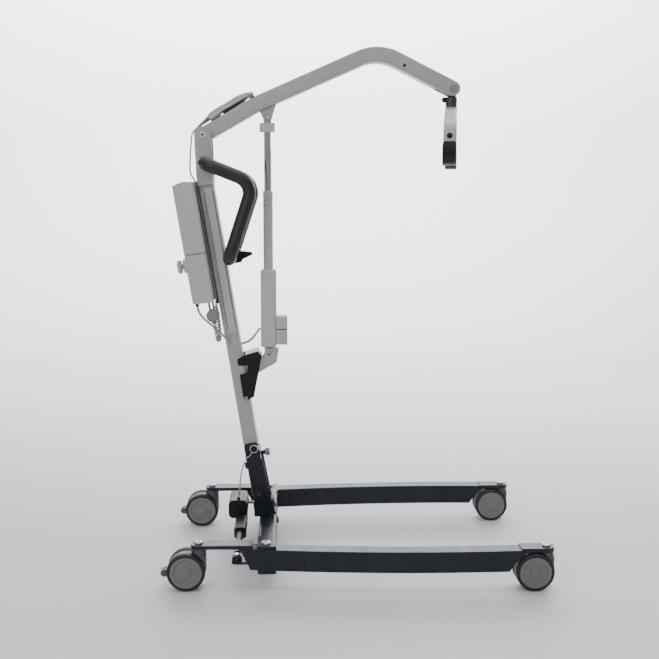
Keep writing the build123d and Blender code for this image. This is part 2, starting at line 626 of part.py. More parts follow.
def actuator_head_part():
    """Moulded head block with the eye that sits between the boom bracket's plates."""
    x = ACTUATOR_X
    head = rounded(block((x - 21, x + 20), (-20, 20), (1184.5, 1207)), Axis.Z, 6)
    head -= round_z(x, 0, 10, (1180, 1186))
    tongue = block((x - 10, x + 10), (-9, 9), (1205, ACTUATOR_HEAD_Z))
    tongue += round_y(x, ACTUATOR_HEAD_Z, 10, (-9, 9))
    return head + tongue - round_y(x, ACTUATOR_HEAD_Z, 6, (-20, 20))


# ---------------------------------------------------------------- spreader
def hanger_part():
    """Short hanger on the boom's tip pin, with the socket that the spreader turns in."""
    x, z = BOOM_TIP
    tongue = round_y(x, z, 11, (-8, 8)) + block((x - 11, x + 11), (-8, 8), (1262, z))
    body = round_z(x, 0, 15.5, (1251, 1276.5))
    body = fillet(body.edges().filter_by(GeomType.CIRCLE), 2)
    hanger = tongue + body
    hanger -= round_y(x, z, 6 + RUN_GAP, (-20, 20))
    hanger -= round_z(x, 0, 7 + RUN_GAP, (1240, 1268))
    return hanger - round_x(0, 1270, 3 + RUN_GAP, (x - 20, x - 9))


def latch_knob_part():
    """Spring knob that frees the spreader."""
    x = BOOM_TIP[0] - 16.0
    cone = Pos(x - 5, 0, 1270) * Rot(0, -90, 0) * Cone(8, 4.5, 9)
    return cone + round_x(0, 1270, 3, (x - 2, x + 6))


def spreader_bar_part():
    """Arched bar with a boss and a stub that turns in the hanger."""
    x = BOOM_TIP[0]
    centre_z = SPREADER_TOP_Z - 10 - SPREADER_ARCH_R
    bar = round_x(0, centre_z, SPREADER_ARCH_R + 10, (x - 16, x + 16))
    bar -= round_x(0, centre_z, SPREADER_ARCH_R - 10, (x - 17, x + 17))
    bar &= block((x - 20, x + 20), (-200, 200), (1100, 1300))
    bar = chamfer(bar.edges().filter_by(GeomType.CIRCLE), 3)
    for side in (-1, 1):
        bar += block((x - 16, x + 16), sorted((side * 188, side * 200)), (SHANK_TOP_Z, 1176))
    boss = round_z(x, 0, 17, (1238, 1250))
    return on_spreader(bar + boss + round_z(x, 0, 7, (1245, 1266)))


def hook_part(side):
    """Open hook below one end of the bar, with its mouth facing out and up."""
    x = BOOM_TIP[0]
    wide = (x - 17, x + 17)
    ring = round_x(side * HOOK_Y, HOOK_Z, HOOK_OUTER_R, wide)
    ring -= round_x(side * HOOK_Y, HOOK_Z, HOOK_INNER_R, (x - 30, x + 30))
    ring -= block((x - 40, x + 40), sorted((side * 150, side * 290)), (HOOK_Z, HOOK_Z + 60))
    shank = block(wide, sorted((side * 188, side * 202)), (HOOK_Z - 1, SHANK_TOP_Z))
    tip = block(wide, sorted((side * 234, side * 252)), (HOOK_Z - 1, TIP_TOP_Z))
    hook = chamfer((ring + shank + tip).edges().filter_by(Axis.Z), 2.5)
    bolt = round_y(x, 1164, 7.5, sorted((side * 200, side * 207)))
    return group(hook, bolt)


def hooks_part():
    """The two hooks as one node."""
    return group(*[on_spreader(hook_part(side)) for side in (-1, 1)])


def hook_latch_part(side):
    """Spring tongue across a hook's mouth."""
    x = BOOM_TIP[0]
    root_y, root_z = side * 205.4, 1147
    points = [(root_y, root_z + 3), (root_y, root_z - 3), (side * 230, 1134), (side * 233, 1138)]
    latch = end_plate(points, (x - 8, x + 8)) + round_x(root_y, root_z, 3, (x - 8, x + 8))
    return on_spreader(latch)


# ---------------------------------------------------------------- cords
HANDSET_CORD = [(-419.7, 0, 1195.4), (-431.8, 0, 1186), (-435.5, -0.5, 1170), (-437, -1, 1150),
                (-439, -2.5, 1126), (-440.5, -5, 1098), (-440, -12, 1076), (-432.5, -20, 1063),
                (-424.5, -25, 1052), (-419.5, -26, 1030), (-412.5, -26, 988), (-404.3, -26, 933),
                (-395, -26.2, 874), (-386.3, -26, 819), (-378.3, -26.5, 768), (-373.6, -27, 740),
                (-374.5, -27, 722)]
HANDSET_COIL = [(-374.6, -27, 720.5), (-374, -25.6, 700), (-370.5, -23, 680), (-367.5, -22.2, 660),
                (-366.2, -22.3, 644), (-366, -22.8, 631.7), (-366.6, -30, 624.2), (-367.8, -40.5, 624.2),
                (-369.6, -48, 631.7), (-372.2, -48.6, 642.5), (-374.6, -48.2, 651.7), (-377.2, -48, 668.1)]
ACTUATOR_CABLE = [(-424.1, -36, 716.4), (-421.4, -36.3, 700), (-407, -38, 682), (-388, -42, 667),
                  (-369, -45, 652), (-352, -45, 635), (-341, -41, 620), (-336, -32.8, 610)]
ACTUATOR_LEAD = [(-306, 8, 606.5), (-291, 8, 609.5), (-276, 9, 621), (-265, 9, 637), (-255, 8, 649)]
LEG_CABLE = [(-301.1, 0, 265.6), (-306, 1, 256.5), (-311, 3, 237), (-315, 8, 214), (-317, 18, 188),
             (-318, 34, 170), (-320.5, 50, 159), (-323, 60, 145.7)]


def cable_parts():
    return {
        "handset_cord": cord(HANDSET_CORD, CORD_D),
        "handset_coil": cord(HANDSET_COIL, COIL_D),
        "actuator_cable": cord(ACTUATOR_CABLE, CABLE_D),
        "actuator_lead": cord(ACTUATOR_LEAD, CABLE_D),
        "leg_cable": cord(LEG_CABLE, LEG_CABLE_D),
    }


# ---------------------------------------------------------------- all nodes
def all_parts():
    left_leg = left_leg_part()
    left_bolts = left_leg_bolts_part()
    parts = {
        "cross_member": cross_member_part(),
        "mast_socket": mast_socket_part(),
        "pivot_bolts": pivot_bolts_part(),
        "left_leg": left_leg,
        "right_leg": mirrored(left_leg),
        "left_leg_bolts": left_bolts,
        "right_leg_bolts": mirrored(left_bolts),
        "spread_motor": spread_motor_part(),
        "spread_rod": spread_rod_part(),
        "mast": mast_part(),
        "cable_cover": cable_cover_part(),
        "mast_screws": mast_screws_part(),
        "box_bracket": box_bracket_part(),
        "control_unit": control_unit_part(),
        "battery": battery_part(),
        "stop_button": stop_button_part(),
        "handset_plug": handset_plug_part(),
        "handle_tube": handle_tube_part(),
        "handle_grips": handle_grips_part(),
        "handle_clamp": handle_clamp_part(),
        "clamp_lever": clamp_lever_part(),
        "park_bracket": park_bracket_part(),
        "actuator_bracket": actuator_bracket_part(),
        "locking_knob": locking_knob_part(),
        "locking_pin": locking_pin_part(),
        "boom": boom_part(),
        "boom_pins": boom_pins_part(),
        "handset": handset_part(),
        "boom_rocker": rocker_part(ROCKERS[0]),
        "leg_rocker": rocker_part(ROCKERS[1]),
        "actuator_housing": actuator_housing_part(),
        "actuator_motor": actuator_motor_part(),
        "actuator_tube": actuator_tube_part(),
        "actuator_rod": actuator_rod_part(),
        "actuator_head": actuator_head_part(),
        "hanger": hanger_part(),
        "latch_knob": latch_knob_part(),
        "spreader_bar": spreader_bar_part(),
        "spreader_hooks": hooks_part(),
        "left_hook_latch": hook_latch_part(1),
        "right_hook_latch": hook_latch_part(-1),
    }
    for end, stem, top_z in (("rear", REAR_STEM, REAR_ARM_Z[0]), ("front", FRONT_STEM, FRONT_ARM_Z[0])):
        housing = caster_housing(stem, top_z, end == "rear")
        pieces = {"housing": housing, "tyres": caster_tyres(stem), "hubs": caster_hubs(stem)}
        if end == "rear":
            pieces["brake"] = brake_pedal(stem)
        for name, piece in pieces.items():
            parts[f"left_{end}_caster_{name}"] = piece
            parts[f"right_{end}_caster_{name}"] = mirrored(piece)
    parts.update(cable_parts())
    return parts


def main():
    os.makedirs("parts", exist_ok=True)
    for name, shape in all_parts().items():
        export_step(shape, f"parts/{name}.step")


if __name__ == "__main__":
    main()
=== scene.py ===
"""Patient lift hoist in a pale studio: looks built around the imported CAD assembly.  Metres, +Z up."""

import json
import math

import bmesh
import bpy
from mathutils import Matrix, Vector


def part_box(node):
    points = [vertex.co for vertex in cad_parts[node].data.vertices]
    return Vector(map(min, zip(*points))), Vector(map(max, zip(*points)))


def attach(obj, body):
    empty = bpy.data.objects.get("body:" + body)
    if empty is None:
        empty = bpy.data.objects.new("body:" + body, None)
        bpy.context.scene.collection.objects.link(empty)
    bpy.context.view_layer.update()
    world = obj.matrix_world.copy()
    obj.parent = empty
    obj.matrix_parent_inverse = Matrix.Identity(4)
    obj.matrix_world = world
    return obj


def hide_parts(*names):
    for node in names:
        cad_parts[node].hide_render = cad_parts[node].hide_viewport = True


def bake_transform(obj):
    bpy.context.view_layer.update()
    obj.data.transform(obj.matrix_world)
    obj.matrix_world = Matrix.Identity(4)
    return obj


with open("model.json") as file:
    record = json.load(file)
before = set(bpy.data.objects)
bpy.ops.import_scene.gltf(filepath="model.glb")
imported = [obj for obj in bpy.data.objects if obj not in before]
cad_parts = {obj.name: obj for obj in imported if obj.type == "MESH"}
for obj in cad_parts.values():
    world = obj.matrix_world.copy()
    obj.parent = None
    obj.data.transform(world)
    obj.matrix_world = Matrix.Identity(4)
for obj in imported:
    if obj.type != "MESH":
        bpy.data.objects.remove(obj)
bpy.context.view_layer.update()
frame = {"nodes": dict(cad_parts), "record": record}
RECORD = frame["record"]
JOINTS = {joint["name"]: joint for joint in RECORD["behaviour"]["joints"]}
NODE_SLOT = {part["node"]: part["material_slot"] for part in RECORD["subparts"]}
NODE_BODY = {node: body for body, nodes in RECORD["behaviour"]["bodies"].items() for node in nodes}


def joint_place(name):
    """Where a joint sits at rest."""
    return Vector(JOINTS[name]["pos_m"])


# ---------------------------------------------------------------- places and sizes
MAST_LEAN = math.radians(-9)
BOOM_SLOPE = math.atan2(82, 144)
SPREADER_YAW = math.radians(-10.5)
BOOM_PIVOT = joint_place("boom_lift")
BOOM_TIP = joint_place("spreader_swing")
MAST = Matrix.Translation(joint_place("mast_fold")) @ Matrix.Rotation(MAST_LEAN, 4, "Y")
BOOM = Matrix.Translation(BOOM_PIVOT) @ Matrix.Rotation(-BOOM_SLOPE, 4, "Y")
SPREADER = Matrix.Translation((BOOM_TIP.x, 0, 0)) @ Matrix.Rotation(SPREADER_YAW, 4, "Z")
FORWARD = Matrix.Rotation(math.radians(90), 4, "Y")     # turns a lathe's axis from +Z to +X
BACKWARD = Matrix.Rotation(math.radians(-90), 4, "Y")   # turns a lathe's axis from +Z to -X
ACROSS = Matrix.Rotation(math.radians(-90), 4, "X")     # turns a lathe's axis from +Z to +Y
TO_REAR = Matrix(((0, 1, 0, 0), (1, 0, 0, 0), (0, 0, 1, 0), (0, 0, 0, 1)))     # swaps a prism's X and Y
SIDES = (("left", 1), ("right", -1))


def outward(centre, side):
    """Place whose +Z axis points out to the left (side 1) or the right (side -1)."""
    return Matrix.Translation(centre) @ Matrix.Rotation(math.radians(-90 * side), 4, "X")


# ---------------------------------------------------------------- camera
def add_camera():
    """Eye-level view of the hoist's right side."""
    data = bpy.data.cameras.new("camera")
    data.sensor_width = 36
    data.lens = 51.08
    data.shift_x = 0.0283
    data.dof.use_dof = False
    camera = bpy.data.objects.new("camera", data)
    camera.location = (-0.186, -2.5734, 1.0270)
    tilt_down, turn_right = 8.4221, 1.6035
    camera.rotation_euler = (math.radians(90 - tilt_down), 0, math.radians(-turn_right))
    bpy.context.collection.objects.link(camera)
    bpy.context.scene.camera = camera


add_camera()


# ---------------------------------------------------------------- materials
def noise(tree, vector, scale, detail, stretch=(1, 1, 1)):
    """Noise over the object's own coordinates, pulled out along an axis where stretch is small."""
    mapping = tree.nodes.new("ShaderNodeMapping")
    mapping.inputs["Scale"].default_value = stretch
    tree.links.new(vector, mapping.inputs["Vector"])
    texture = tree.nodes.new("ShaderNodeTexNoise")
    texture.inputs["Scale"].default_value = scale
    texture.inputs["Detail"].default_value = detail
    tree.links.new(mapping.outputs["Vector"], texture.inputs["Vector"])
    return texture.outputs["Fac"]


def spread(tree, value, low, high):
    """Stretch the middle of a noise between two values."""
    node = tree.nodes.new("ShaderNodeMapRange")
    node.inputs["From Min"].default_value = 0.3
    node.inputs["From Max"].default_value = 0.7
    node.inputs["To Min"].default_value = low
    node.inputs["To Max"].default_value = high
    tree.links.new(value, node.inputs["Value"])
    return node.outputs["Result"]


def surface(name, colour, roughness, metallic=0.0, tint=0.10, rough_spread=0.08, grain=0.2, grain_scale=900,
            stretch=(1, 1, 1), shine=0.5):
    """Surface with cloudy tint, patchy roughness, rubbed marks and a fine grain."""
    material = bpy.data.materials.new(name)
    material.use_nodes = True
    tree = material.node_tree
    shader = tree.nodes["Principled BSDF"]
    shader.inputs["Metallic"].default_value = metallic
    shader.inputs["Specular IOR Level"].default_value = shine
    place = tree.nodes.new("ShaderNodeTexCoord").outputs["Object"]

    ramp = tree.nodes.new("ShaderNodeValToRGB")
    ramp.color_ramp.elements[0].position = 0.32
    ramp.color_ramp.elements[1].position = 0.68
    ramp.color_ramp.elements[0].color = (*[c * (1 - tint) for c in colour], 1)
    ramp.color_ramp.elements[1].color = (*[min(1, c * (1 + tint)) for c in colour], 1)
    tree.links.new(noise(tree, place, 9, 5), ramp.inputs["Fac"])
    tree.links.new(ramp.outputs["Color"], shader.inputs["Base Color"])

    rubbed = noise(tree, place, 60, 8, stretch)
    tree.links.new(spread(tree, rubbed, roughness - rough_spread, roughness + rough_spread),
                   shader.inputs["Roughness"])

    bump = tree.nodes.new("ShaderNodeBump")
    bump.inputs["Strength"].default_value = grain
    bump.inputs["Distance"].default_value = 0.0004
    tree.links.new(noise(tree, place, grain_scale, 3, stretch), bump.inputs["Height"])
    tree.links.new(bump.outputs["Normal"], shader.inputs["Normal"])
    return material


def material_set():
    """One material for each of the record's slots, and a few for small trim and painted shade."""
    painted = dict(tint=0.05, grain=0.10)
    moulded = dict(tint=0.04)
    dark = dict(tint=0.25, shine=0.35)
    along = (1, 1, 0.1)
    return {
        "frame_paint": surface("frame_paint", (0.41, 0.40, 0.385), 0.40, grain_scale=1400, **painted),
        "base_paint": surface("base_paint", (0.007, 0.010, 0.016), 0.34, grain=0.14, **dark),
        "bolt_steel": surface("bolt_steel", (0.55, 0.55, 0.56), 0.32, 1.0, stretch=along),
        "rod_chrome": surface("rod_chrome", (0.72, 0.72, 0.73), 0.09, 1.0, tint=0.03,
                              rough_spread=0.04, grain=0.02, stretch=(1, 1, 0.05)),
        "box_plastic": surface("box_plastic", (0.50, 0.49, 0.47), 0.50, grain=0.25, **moulded),
        "black_metal": surface("black_metal", (0.006, 0.006, 0.007), 0.36, grain=0.15, **dark),
        "black_plastic": surface("black_plastic", (0.008, 0.008, 0.009), 0.45, grain=0.35, **dark),
        "grip_foam": surface("grip_foam", (0.014, 0.015, 0.018), 0.42, tint=0.25, grain=0.35,
                             grain_scale=620),
        "actuator_plastic": surface("actuator_plastic", (0.50, 0.495, 0.48), 0.45, grain=0.22, **moulded),
        "hanger_metal": surface("hanger_metal", (0.045, 0.045, 0.038), 0.40, tint=0.15),
        "spreader_paint": surface("spreader_paint", (0.46, 0.455, 0.44), 0.40, **painted),
        "cord_jacket": surface("cord_jacket", (0.36, 0.36, 0.36), 0.50, tint=0.06, grain=0.12),
        "caster_plastic": surface("caster_plastic", (0.075, 0.077, 0.082), 0.42, tint=0.15, grain=0.30),
        "tyre": surface("tyre", (0.012, 0.012, 0.013), 0.60, tint=0.30, rough_spread=0.14, grain=0.35),
        "hub_plastic": surface("hub_plastic", (0.17, 0.17, 0.175), 0.45, tint=0.07, grain=0.25),
        # near-black for dark joints and plugs, also used as painted shade in gaps, socket hollows, vents and
        # slots
        "dark_trim_and_painted_shade": surface("dark_trim_and_painted_shade", (0.02, 0.02, 0.02), 0.7, tint=0.2),
        "mark_red": surface("mark_red", (0.50, 0.03, 0.03), 0.5),
        "mark_grey": surface("mark_grey", (0.22, 0.22, 0.22), 0.5),
    }


MATERIALS = material_set()


# ---------------------------------------------------------------- mesh helpers
SHARP_ANGLE = 38        # degrees between faces above which an edge stays sharp, or takes a bevel


def add_piece(name, mesh_data, material, body, replaces=(), bevel=0.0, segments=2, sharp=SHARP_ANGLE):
    """Turn a bmesh into an object that rides on a body, with soft edges where it has a bevel."""
    bmesh.ops.remove_doubles(mesh_data, verts=mesh_data.verts, dist=1e-6)
    bmesh.ops.recalc_face_normals(mesh_data, faces=mesh_data.faces)
    mesh = bpy.data.meshes.new(name)
    mesh_data.to_mesh(mesh)
    mesh_data.free()
    mesh.materials.append(MATERIALS[material])
    for face in mesh.polygons:
        face.use_smooth = True
    mesh.set_sharp_from_angle(angle=math.radians(sharp))
    piece = bpy.data.objects.new(name, mesh)
    bpy.context.collection.objects.link(piece)
    if bevel:
        soften(piece, bevel, segments)
    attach(piece, body)
    if replaces:
        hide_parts(*replaces)
    return piece


def soften(piece, width, segments=2):
    """Bevel a piece's sharp edges."""
    bevel = piece.modifiers.new("soft_edges", "BEVEL")
    bevel.width = width
    bevel.segments = segments
    bevel.limit_method = "ANGLE"
    bevel.angle_limit = math.radians(SHARP_ANGLE)
    bevel.harden_normals = True


def join_rings(mesh_data, low, high):
    """Faces between two rings of vertices, or between a ring and one vertex."""
    count = max(len(low), len(high))
    for i in range(count):
        j = (i + 1) % count
        corners = [low[i % len(low)], low[j % len(low)], high[j % len(high)], high[i % len(high)]]
        corners = list(dict.fromkeys(corners))
        if len(corners) > 2:
            mesh_data.faces.new(corners)


def lathe(profile, place, steps=64, lobes=0, lobe_depth=0.0, closed=False):
    """Turn (radius, height) pairs about the place's Z axis; lobes wave the rim."""
    mesh_data = bmesh.new()
    rings = []
    for radius, height in profile:
        if radius < 1e-6:
            rings.append([mesh_data.verts.new(place @ Vector((0, 0, height)))])
            continue
        ring = []
        for step in range(steps):
            angle = 2 * math.pi * step / steps
            r = radius * (1 - lobe_depth * (0.5 + 0.5 * math.cos(lobes * angle)))
            point = Vector((r * math.cos(angle), r * math.sin(angle), height))
            ring.append(mesh_data.verts.new(place @ point))
        rings.append(ring)
    for low, high in zip(rings, rings[1:] + (rings[:1] if closed else [])):
        join_rings(mesh_data, low, high)
    return mesh_data


def arc(centre, radius, start, end, steps=8):
    """(a, b) pairs round part of a circle, angles in degrees."""
    angles = [math.radians(start + (end - start) * i / steps) for i in range(steps + 1)]
    return [(centre[0] + radius * math.cos(a), centre[1] + radius * math.sin(a)) for a in angles]


def rounded_rectangle(half_a, half_b, radius):
    """Closed outline with round corners."""
    a, b = half_a - radius, half_b - radius
    outline = []
    for (ca, cb), start in (((a, b), 0), ((-a, b), 90), ((-a, -b), 180), ((a, -b), 270)):
        outline += arc((ca, cb), radius, start, start + 90, 5)
    return outline


def prism(outline, low, high, place=Matrix(), axis="Y"):
    """Plate with an outline across one axis, between two places along it."""
    mesh_data = bmesh.new()
    rings = []
    for depth in (low, high):
        points = [(a, depth, b) if axis == "Y" else (a, b, depth) for a, b in outline]
        rings.append([mesh_data.verts.new(place @ Vector(point)) for point in points])
    join_rings(mesh_data, *rings)
    mesh_data.faces.new(rings[0])
    mesh_data.faces.new(rings[1])
    return mesh_data


def rounded_path(points, radii, steps=10):
    """Straight runs joined by arcs."""
    points = [Vector(p) for p in points]
    path = [points[0]]
    for before, corner, after, radius in zip(points, points[1:], points[2:], radii):
        back, on = (before - corner).normalized(), (after - corner).normalized()
        half = back.angle(on) / 2
        middle = (back + on).normalized()
        centre = corner + middle * (radius / math.sin(half))
        start = corner + back * (radius / math.tan(half)) - centre
        turn = start.rotation_difference(corner + on * (radius / math.tan(half)) - centre)
        for i in range(steps + 1):
            path.append(centre + turn.slerp(turn.__class__(), 1 - i / steps) @ start)
    return path + [points[-1]]


def sweep(path, section, side=(0, 1, 0), scales=None):
    """Carry an outline along a path without twisting it; scales may narrow it at each point."""
    mesh_data = bmesh.new()
    across = Vector(side)
    rings = []
    tangent = (path[1] - path[0]).normalized()
    for i, point in enumerate(path):
        following = (path[min(i + 1, len(path) - 1)] - path[max(i - 1, 0)]).normalized()
        across = tangent.rotation_difference(following) @ across
        tangent = following
        up = across.cross(tangent)
        wide, tall = scales[i] if scales else (1, 1)
        rings.append([mesh_data.verts.new(point + across * a * wide - up * b * tall) for a, b in section])
    for low, high in zip(rings, rings[1:]):
        join_rings(mesh_data, low, high)
    mesh_data.faces.new(rings[0])
    mesh_data.faces.new(rings[-1])
    return mesh_data


def subdivided(path, step):
    """The same path with points no further apart than a step, and finer ends."""
    fine = [path[0]]
    for a, b in zip(path, path[1:]):
        if (b - a).length < 1e-6:
            continue
        count = max(1, math.ceil((b - a).length / step))
        fine += [a.lerp(b, i / count) for i in range(1, count + 1)]
    first, last = fine[0], fine[-1]
    head = [first.lerp(fine[1], t) for t in (0.05, 0.15, 0.35, 0.65)]
    tail = [last.lerp(fine[-2], t) for t in (0.65, 0.35, 0.15, 0.05)]
    return [first] + head + fine[1:-1] + tail + [last]


def circle(radius, steps=32):
    """Closed round outline."""
    return arc((0, 0), radius, 0, 360, steps)[:-1]


def merge(target, extra):
    """Add one bmesh's geometry to another."""
    holder = bpy.data.meshes.new("holder")
    extra.to_mesh(holder)
    extra.free()
    target.from_mesh(holder)
    bpy.data.meshes.remove(holder)


def box_outline(node):
    """Lowest and highest corner of a node, as vectors."""
    low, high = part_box(node)
    return Vector(low), Vector(high)


# ---------------------------------------------------------------- cords
HANDSET_CORD = [(-0.4197, 0, 1.1954), (-0.4318, 0, 1.186), (-0.4355, -0.0005, 1.170), (-0.437, -0.001, 1.150),
                (-0.439, -0.0025, 1.126), (-0.4405, -0.005, 1.098), (-0.440, -0.012, 1.076),
                (-0.4325, -0.020, 1.063), (-0.4245, -0.025, 1.052), (-0.4195, -0.026, 1.030),
                (-0.4125, -0.026, 0.988), (-0.4043, -0.026, 0.933), (-0.395, -0.0262, 0.874),
                (-0.3863, -0.026, 0.819), (-0.3783, -0.0265, 0.768), (-0.3736, -0.027, 0.740),
                (-0.3745, -0.027, 0.722)]
HANDSET_COIL = [(-0.3746, -0.027, 0.7205), (-0.374, -0.0256, 0.700), (-0.3705, -0.023, 0.680),
                (-0.3675, -0.0222, 0.660), (-0.3662, -0.0223, 0.644), (-0.366, -0.0228, 0.6317),
                (-0.3666, -0.030, 0.6242), (-0.3678, -0.0405, 0.6242), (-0.3696, -0.048, 0.6317),
                (-0.3722, -0.0486, 0.6425), (-0.3746, -0.0482, 0.6517), (-0.3772, -0.048, 0.6681)]
ACTUATOR_CABLE = [(-0.4241, -0.036, 0.7164), (-0.4214, -0.0363, 0.700), (-0.407, -0.038, 0.682),
                  (-0.388, -0.042, 0.667), (-0.369, -0.045, 0.652), (-0.352, -0.045, 0.635),
                  (-0.341, -0.041, 0.620), (-0.336, -0.0328, 0.610)]
ACTUATOR_LEAD = [(-0.306, 0.008, 0.6065), (-0.291, 0.008, 0.6095), (-0.276, 0.009, 0.621),
                 (-0.265, 0.009, 0.637), (-0.255, 0.008, 0.649)]
LEG_CABLE = [(-0.3011, 0, 0.2656), (-0.306, 0.001, 0.2565), (-0.311, 0.003, 0.237), (-0.315, 0.008, 0.214),
             (-0.317, 0.018, 0.188), (-0.318, 0.034, 0.170), (-0.3205, 0.050, 0.159), (-0.323, 0.060, 0.1457)]
CORD_D, CABLE_D, LEG_CABLE_D, COIL_D = 0.0046, 0.006, 0.004, 0.014
COIL_PITCH, COIL_STEPS = 0.0070, 14


def spline_curve(name, points, diameter=0.0):
    """Curve object with one smooth open spline."""
    data = bpy.data.curves.new(name, "CURVE")
    data.dimensions = "3D"
    data.resolution_u = 6
    data.bevel_depth = diameter / 2
    data.bevel_resolution = 5
    data.use_fill_caps = diameter > 0
    spline = data.splines.new("NURBS")
    spline.points.add(len(points) - 1)
    for target, point in zip(spline.points, points):
        target.co = (*point, 1)
    spline.order_u = 3
    spline.use_endpoint_u = True
    curve = bpy.data.objects.new(name, data)
    bpy.context.collection.objects.link(curve)
    return curve


def evaluated(curve):
    """Mesh of a curve, as the viewport would draw it."""
    bpy.context.view_layer.update()
    return bpy.data.meshes.new_from_object(curve.evaluated_get(bpy.context.evaluated_depsgraph_get()))


def route(points):
    """Points along the smooth line through a route."""
    curve = spline_curve("route", points)
    line = [v.co.copy() for v in evaluated(curve).vertices]
    bpy.data.objects.remove(curve)
    return line


def length_of(line):
    """Distance along a line of points."""
    return sum((b - a).length for a, b in zip(line, line[1:]))


def helix(points):
    """Turns of a curled cord about its route."""
    line = route(points)
    radius = (COIL_D - CORD_D) / 2
    turns = round(length_of(line) / COIL_PITCH)
    count = turns * COIL_STEPS
    spacing = length_of(line) / count
    coil, travelled, index = [], 0.0, 0
    tangent = (line[1] - line[0]).normalized()
    normal = tangent.orthogonal().normalized()
    for step in range(count + 1):
        while index < len(line) - 2 and travelled + (line[index + 1] - line[index]).length < step * spacing:
            travelled += (line[index + 1] - line[index]).length
            index += 1
        following = (line[index + 1] - line[index]).normalized()
        centre = line[index] + following * (step * spacing - travelled)
        normal = tangent.rotation_difference(following) @ normal
        tangent = following
        angle = 2 * math.pi * step / COIL_STEPS
        ease = min(1, step / COIL_STEPS, (count - step) / COIL_STEPS)
        offset = normal * math.cos(angle) + tangent.cross(normal) * math.sin(angle)
        coil.append(centre + offset * radius * ease)
    return coil


def add_cord(name, points, diameter, nodes, body, start_body=None):
    """Cord that goes back into the hoist; one that crosses a joint is baked into a still mesh that rides on
    no body.
    """
    curve = spline_curve(name, points, diameter)
    line = route(points)
    cord = bpy.data.objects.new(name, evaluated(curve)) if start_body else curve
    cord.data.materials.clear()
    cord.data.materials.append(MATERIALS["cord_jacket"])
    if start_body:
        bpy.data.objects.remove(curve)
        bpy.context.collection.objects.link(cord)
        for face in cord.data.polygons:
            face.use_smooth = True
        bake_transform(cord)
    else:
        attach(cord, body)
    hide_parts(*nodes)
    return cord


def add_cords():
    """Each cord along its own route, from outlet to outlet."""
    add_cord("handset_cord_curled", HANDSET_CORD[:-1] + helix(HANDSET_COIL), CORD_D,
             ["handset_cord", "handset_coil"], "mast_body", "boom_body")
    add_cord("actuator_cable_run", ACTUATOR_CABLE, CABLE_D, ["actuator_cable"], "mast_body")
    add_cord("actuator_lead_run", ACTUATOR_LEAD, CABLE_D, ["actuator_lead"], "actuator_body", "mast_body")
    add_cord("leg_cable_run", LEG_CABLE, LEG_CABLE_D, ["leg_cable"], "spread_motor_body", "base")


add_cords()


# ---------------------------------------------------------------- casters
def add_caster(name):
    """Two wheels with rounded tyres and stepped discs, and a short axle between them."""
    low, high = box_outline(name + "_tyres")
    centre = (low + high) / 2
    radius = (high.z - low.z) / 2
    outer = (high.y - low.y) / 2
    inner, bore = 0.008, 0.042
    body = NODE_BODY[name + "_tyres"]
    tyres, hubs = bmesh.new(), bmesh.new()
    for side in (-1, 1):
        place = outward(centre, side)
        tread = arc((radius - 0.005, inner + 0.005), 0.005, -90, 0, 4)
        tread += arc((radius - 0.005, outer - 0.005), 0.005, 0, 90, 5)
        tyre = [(bore, inner)] + tread + [(bore + 0.0012, outer), (bore, outer - 0.0006)]
        merge(tyres, lathe(tyre, place, 96, closed=True))
        disc = [(0.014, inner + 0.012), (0.036, inner + 0.012), (0.036, inner + 0.0006),
                (bore - 0.0004, inner + 0.0006), (bore - 0.0004, outer - 0.0012),
                (bore - 0.0012, outer - 0.0005),
                (0.0335, outer - 0.0005), (0.0325, outer - 0.0012), (0.0315, outer - 0.0034),
                (0.0250, outer - 0.0042), (0.0150, outer - 0.0040), (0.0140, outer - 0.0030),
                (0.0135, outer - 0.0012), (0.0120, outer - 0.0005), (0, outer - 0.0005)]
        merge(hubs, lathe(disc, place, 96))
        merge(hubs, lathe([(0.005, 0), (0.005, inner + 0.0125)], place, 24))
    add_piece(name + "_tyre_pair", tyres, "tyre", body, [name + "_tyres"])
    add_piece(name + "_hub_pair", hubs, "hub_plastic", body, [name + "_hubs"])


def add_socket(name, centre, direction, radius, body, material="bolt_steel"):
    """Shallow hexagon socket seen in a bolt's head; its hollow is a dark hexagon of painted shade."""
    turn = Vector((0, 0, 1)).rotation_difference(Vector(direction))
    place = Matrix.Translation(centre) @ turn.to_matrix().to_4x4()
    rim = [(radius, -0.0005), (radius, 0.0002), (radius * 0.92, 0.0003), (radius * 0.9, 0.0)]
    add_piece(name + "_rim", lathe(rim, place, 32), material, body)
    # painted shade: dark hexagon standing for the shade inside the socket
    socket_shade = [(radius * 0.62, 0.0), (radius * 0.58, 0.0004), (0, 0.0004)]
    add_piece(name + "_recess", lathe(socket_shade, place, 6), "dark_trim_and_painted_shade", body)


# ---------------------------------------------------------------- mast
def add_cable_cover_gap_shade():
    """Thin dark strips along both edges of the cable cover, painted shade for the gaps between the cover and
    the mast.
    """
    foot, top, half = 0.476, 0.850, 0.0006
    for name, v in (("rear", -0.0068), ("front", 0.0148)):
        # painted shade: each strip stands for the shadow in a gap beside the cover
        outline = [(v - half, foot), (v + half, foot), (v + half, top), (v - half, top)]
        add_piece(f"cover_gap_shade_{name}", prism(outline, -0.0353, -0.0340, MAST), "dark_trim_and_painted_shade", "mast_body")


def add_mast_screw_sockets():
    """Sockets of the cover's four screws and of the park bracket's bolt."""
    for w in (0.492, 0.606, 0.719, 0.833):
        centre = MAST @ Vector((0.003, -0.0362, w))
        add_socket(f"cover_screw_{round(w * 1000)}", centre, (0, -1, 0), 0.0022, "mast_body")
    for name, side in SIDES:
        centre = MAST @ Vector((0.010, side * 0.0370, 0.277))
        add_socket(f"park_bolt_{name}", centre, (0, side, 0), 0.0040, "mast_body")


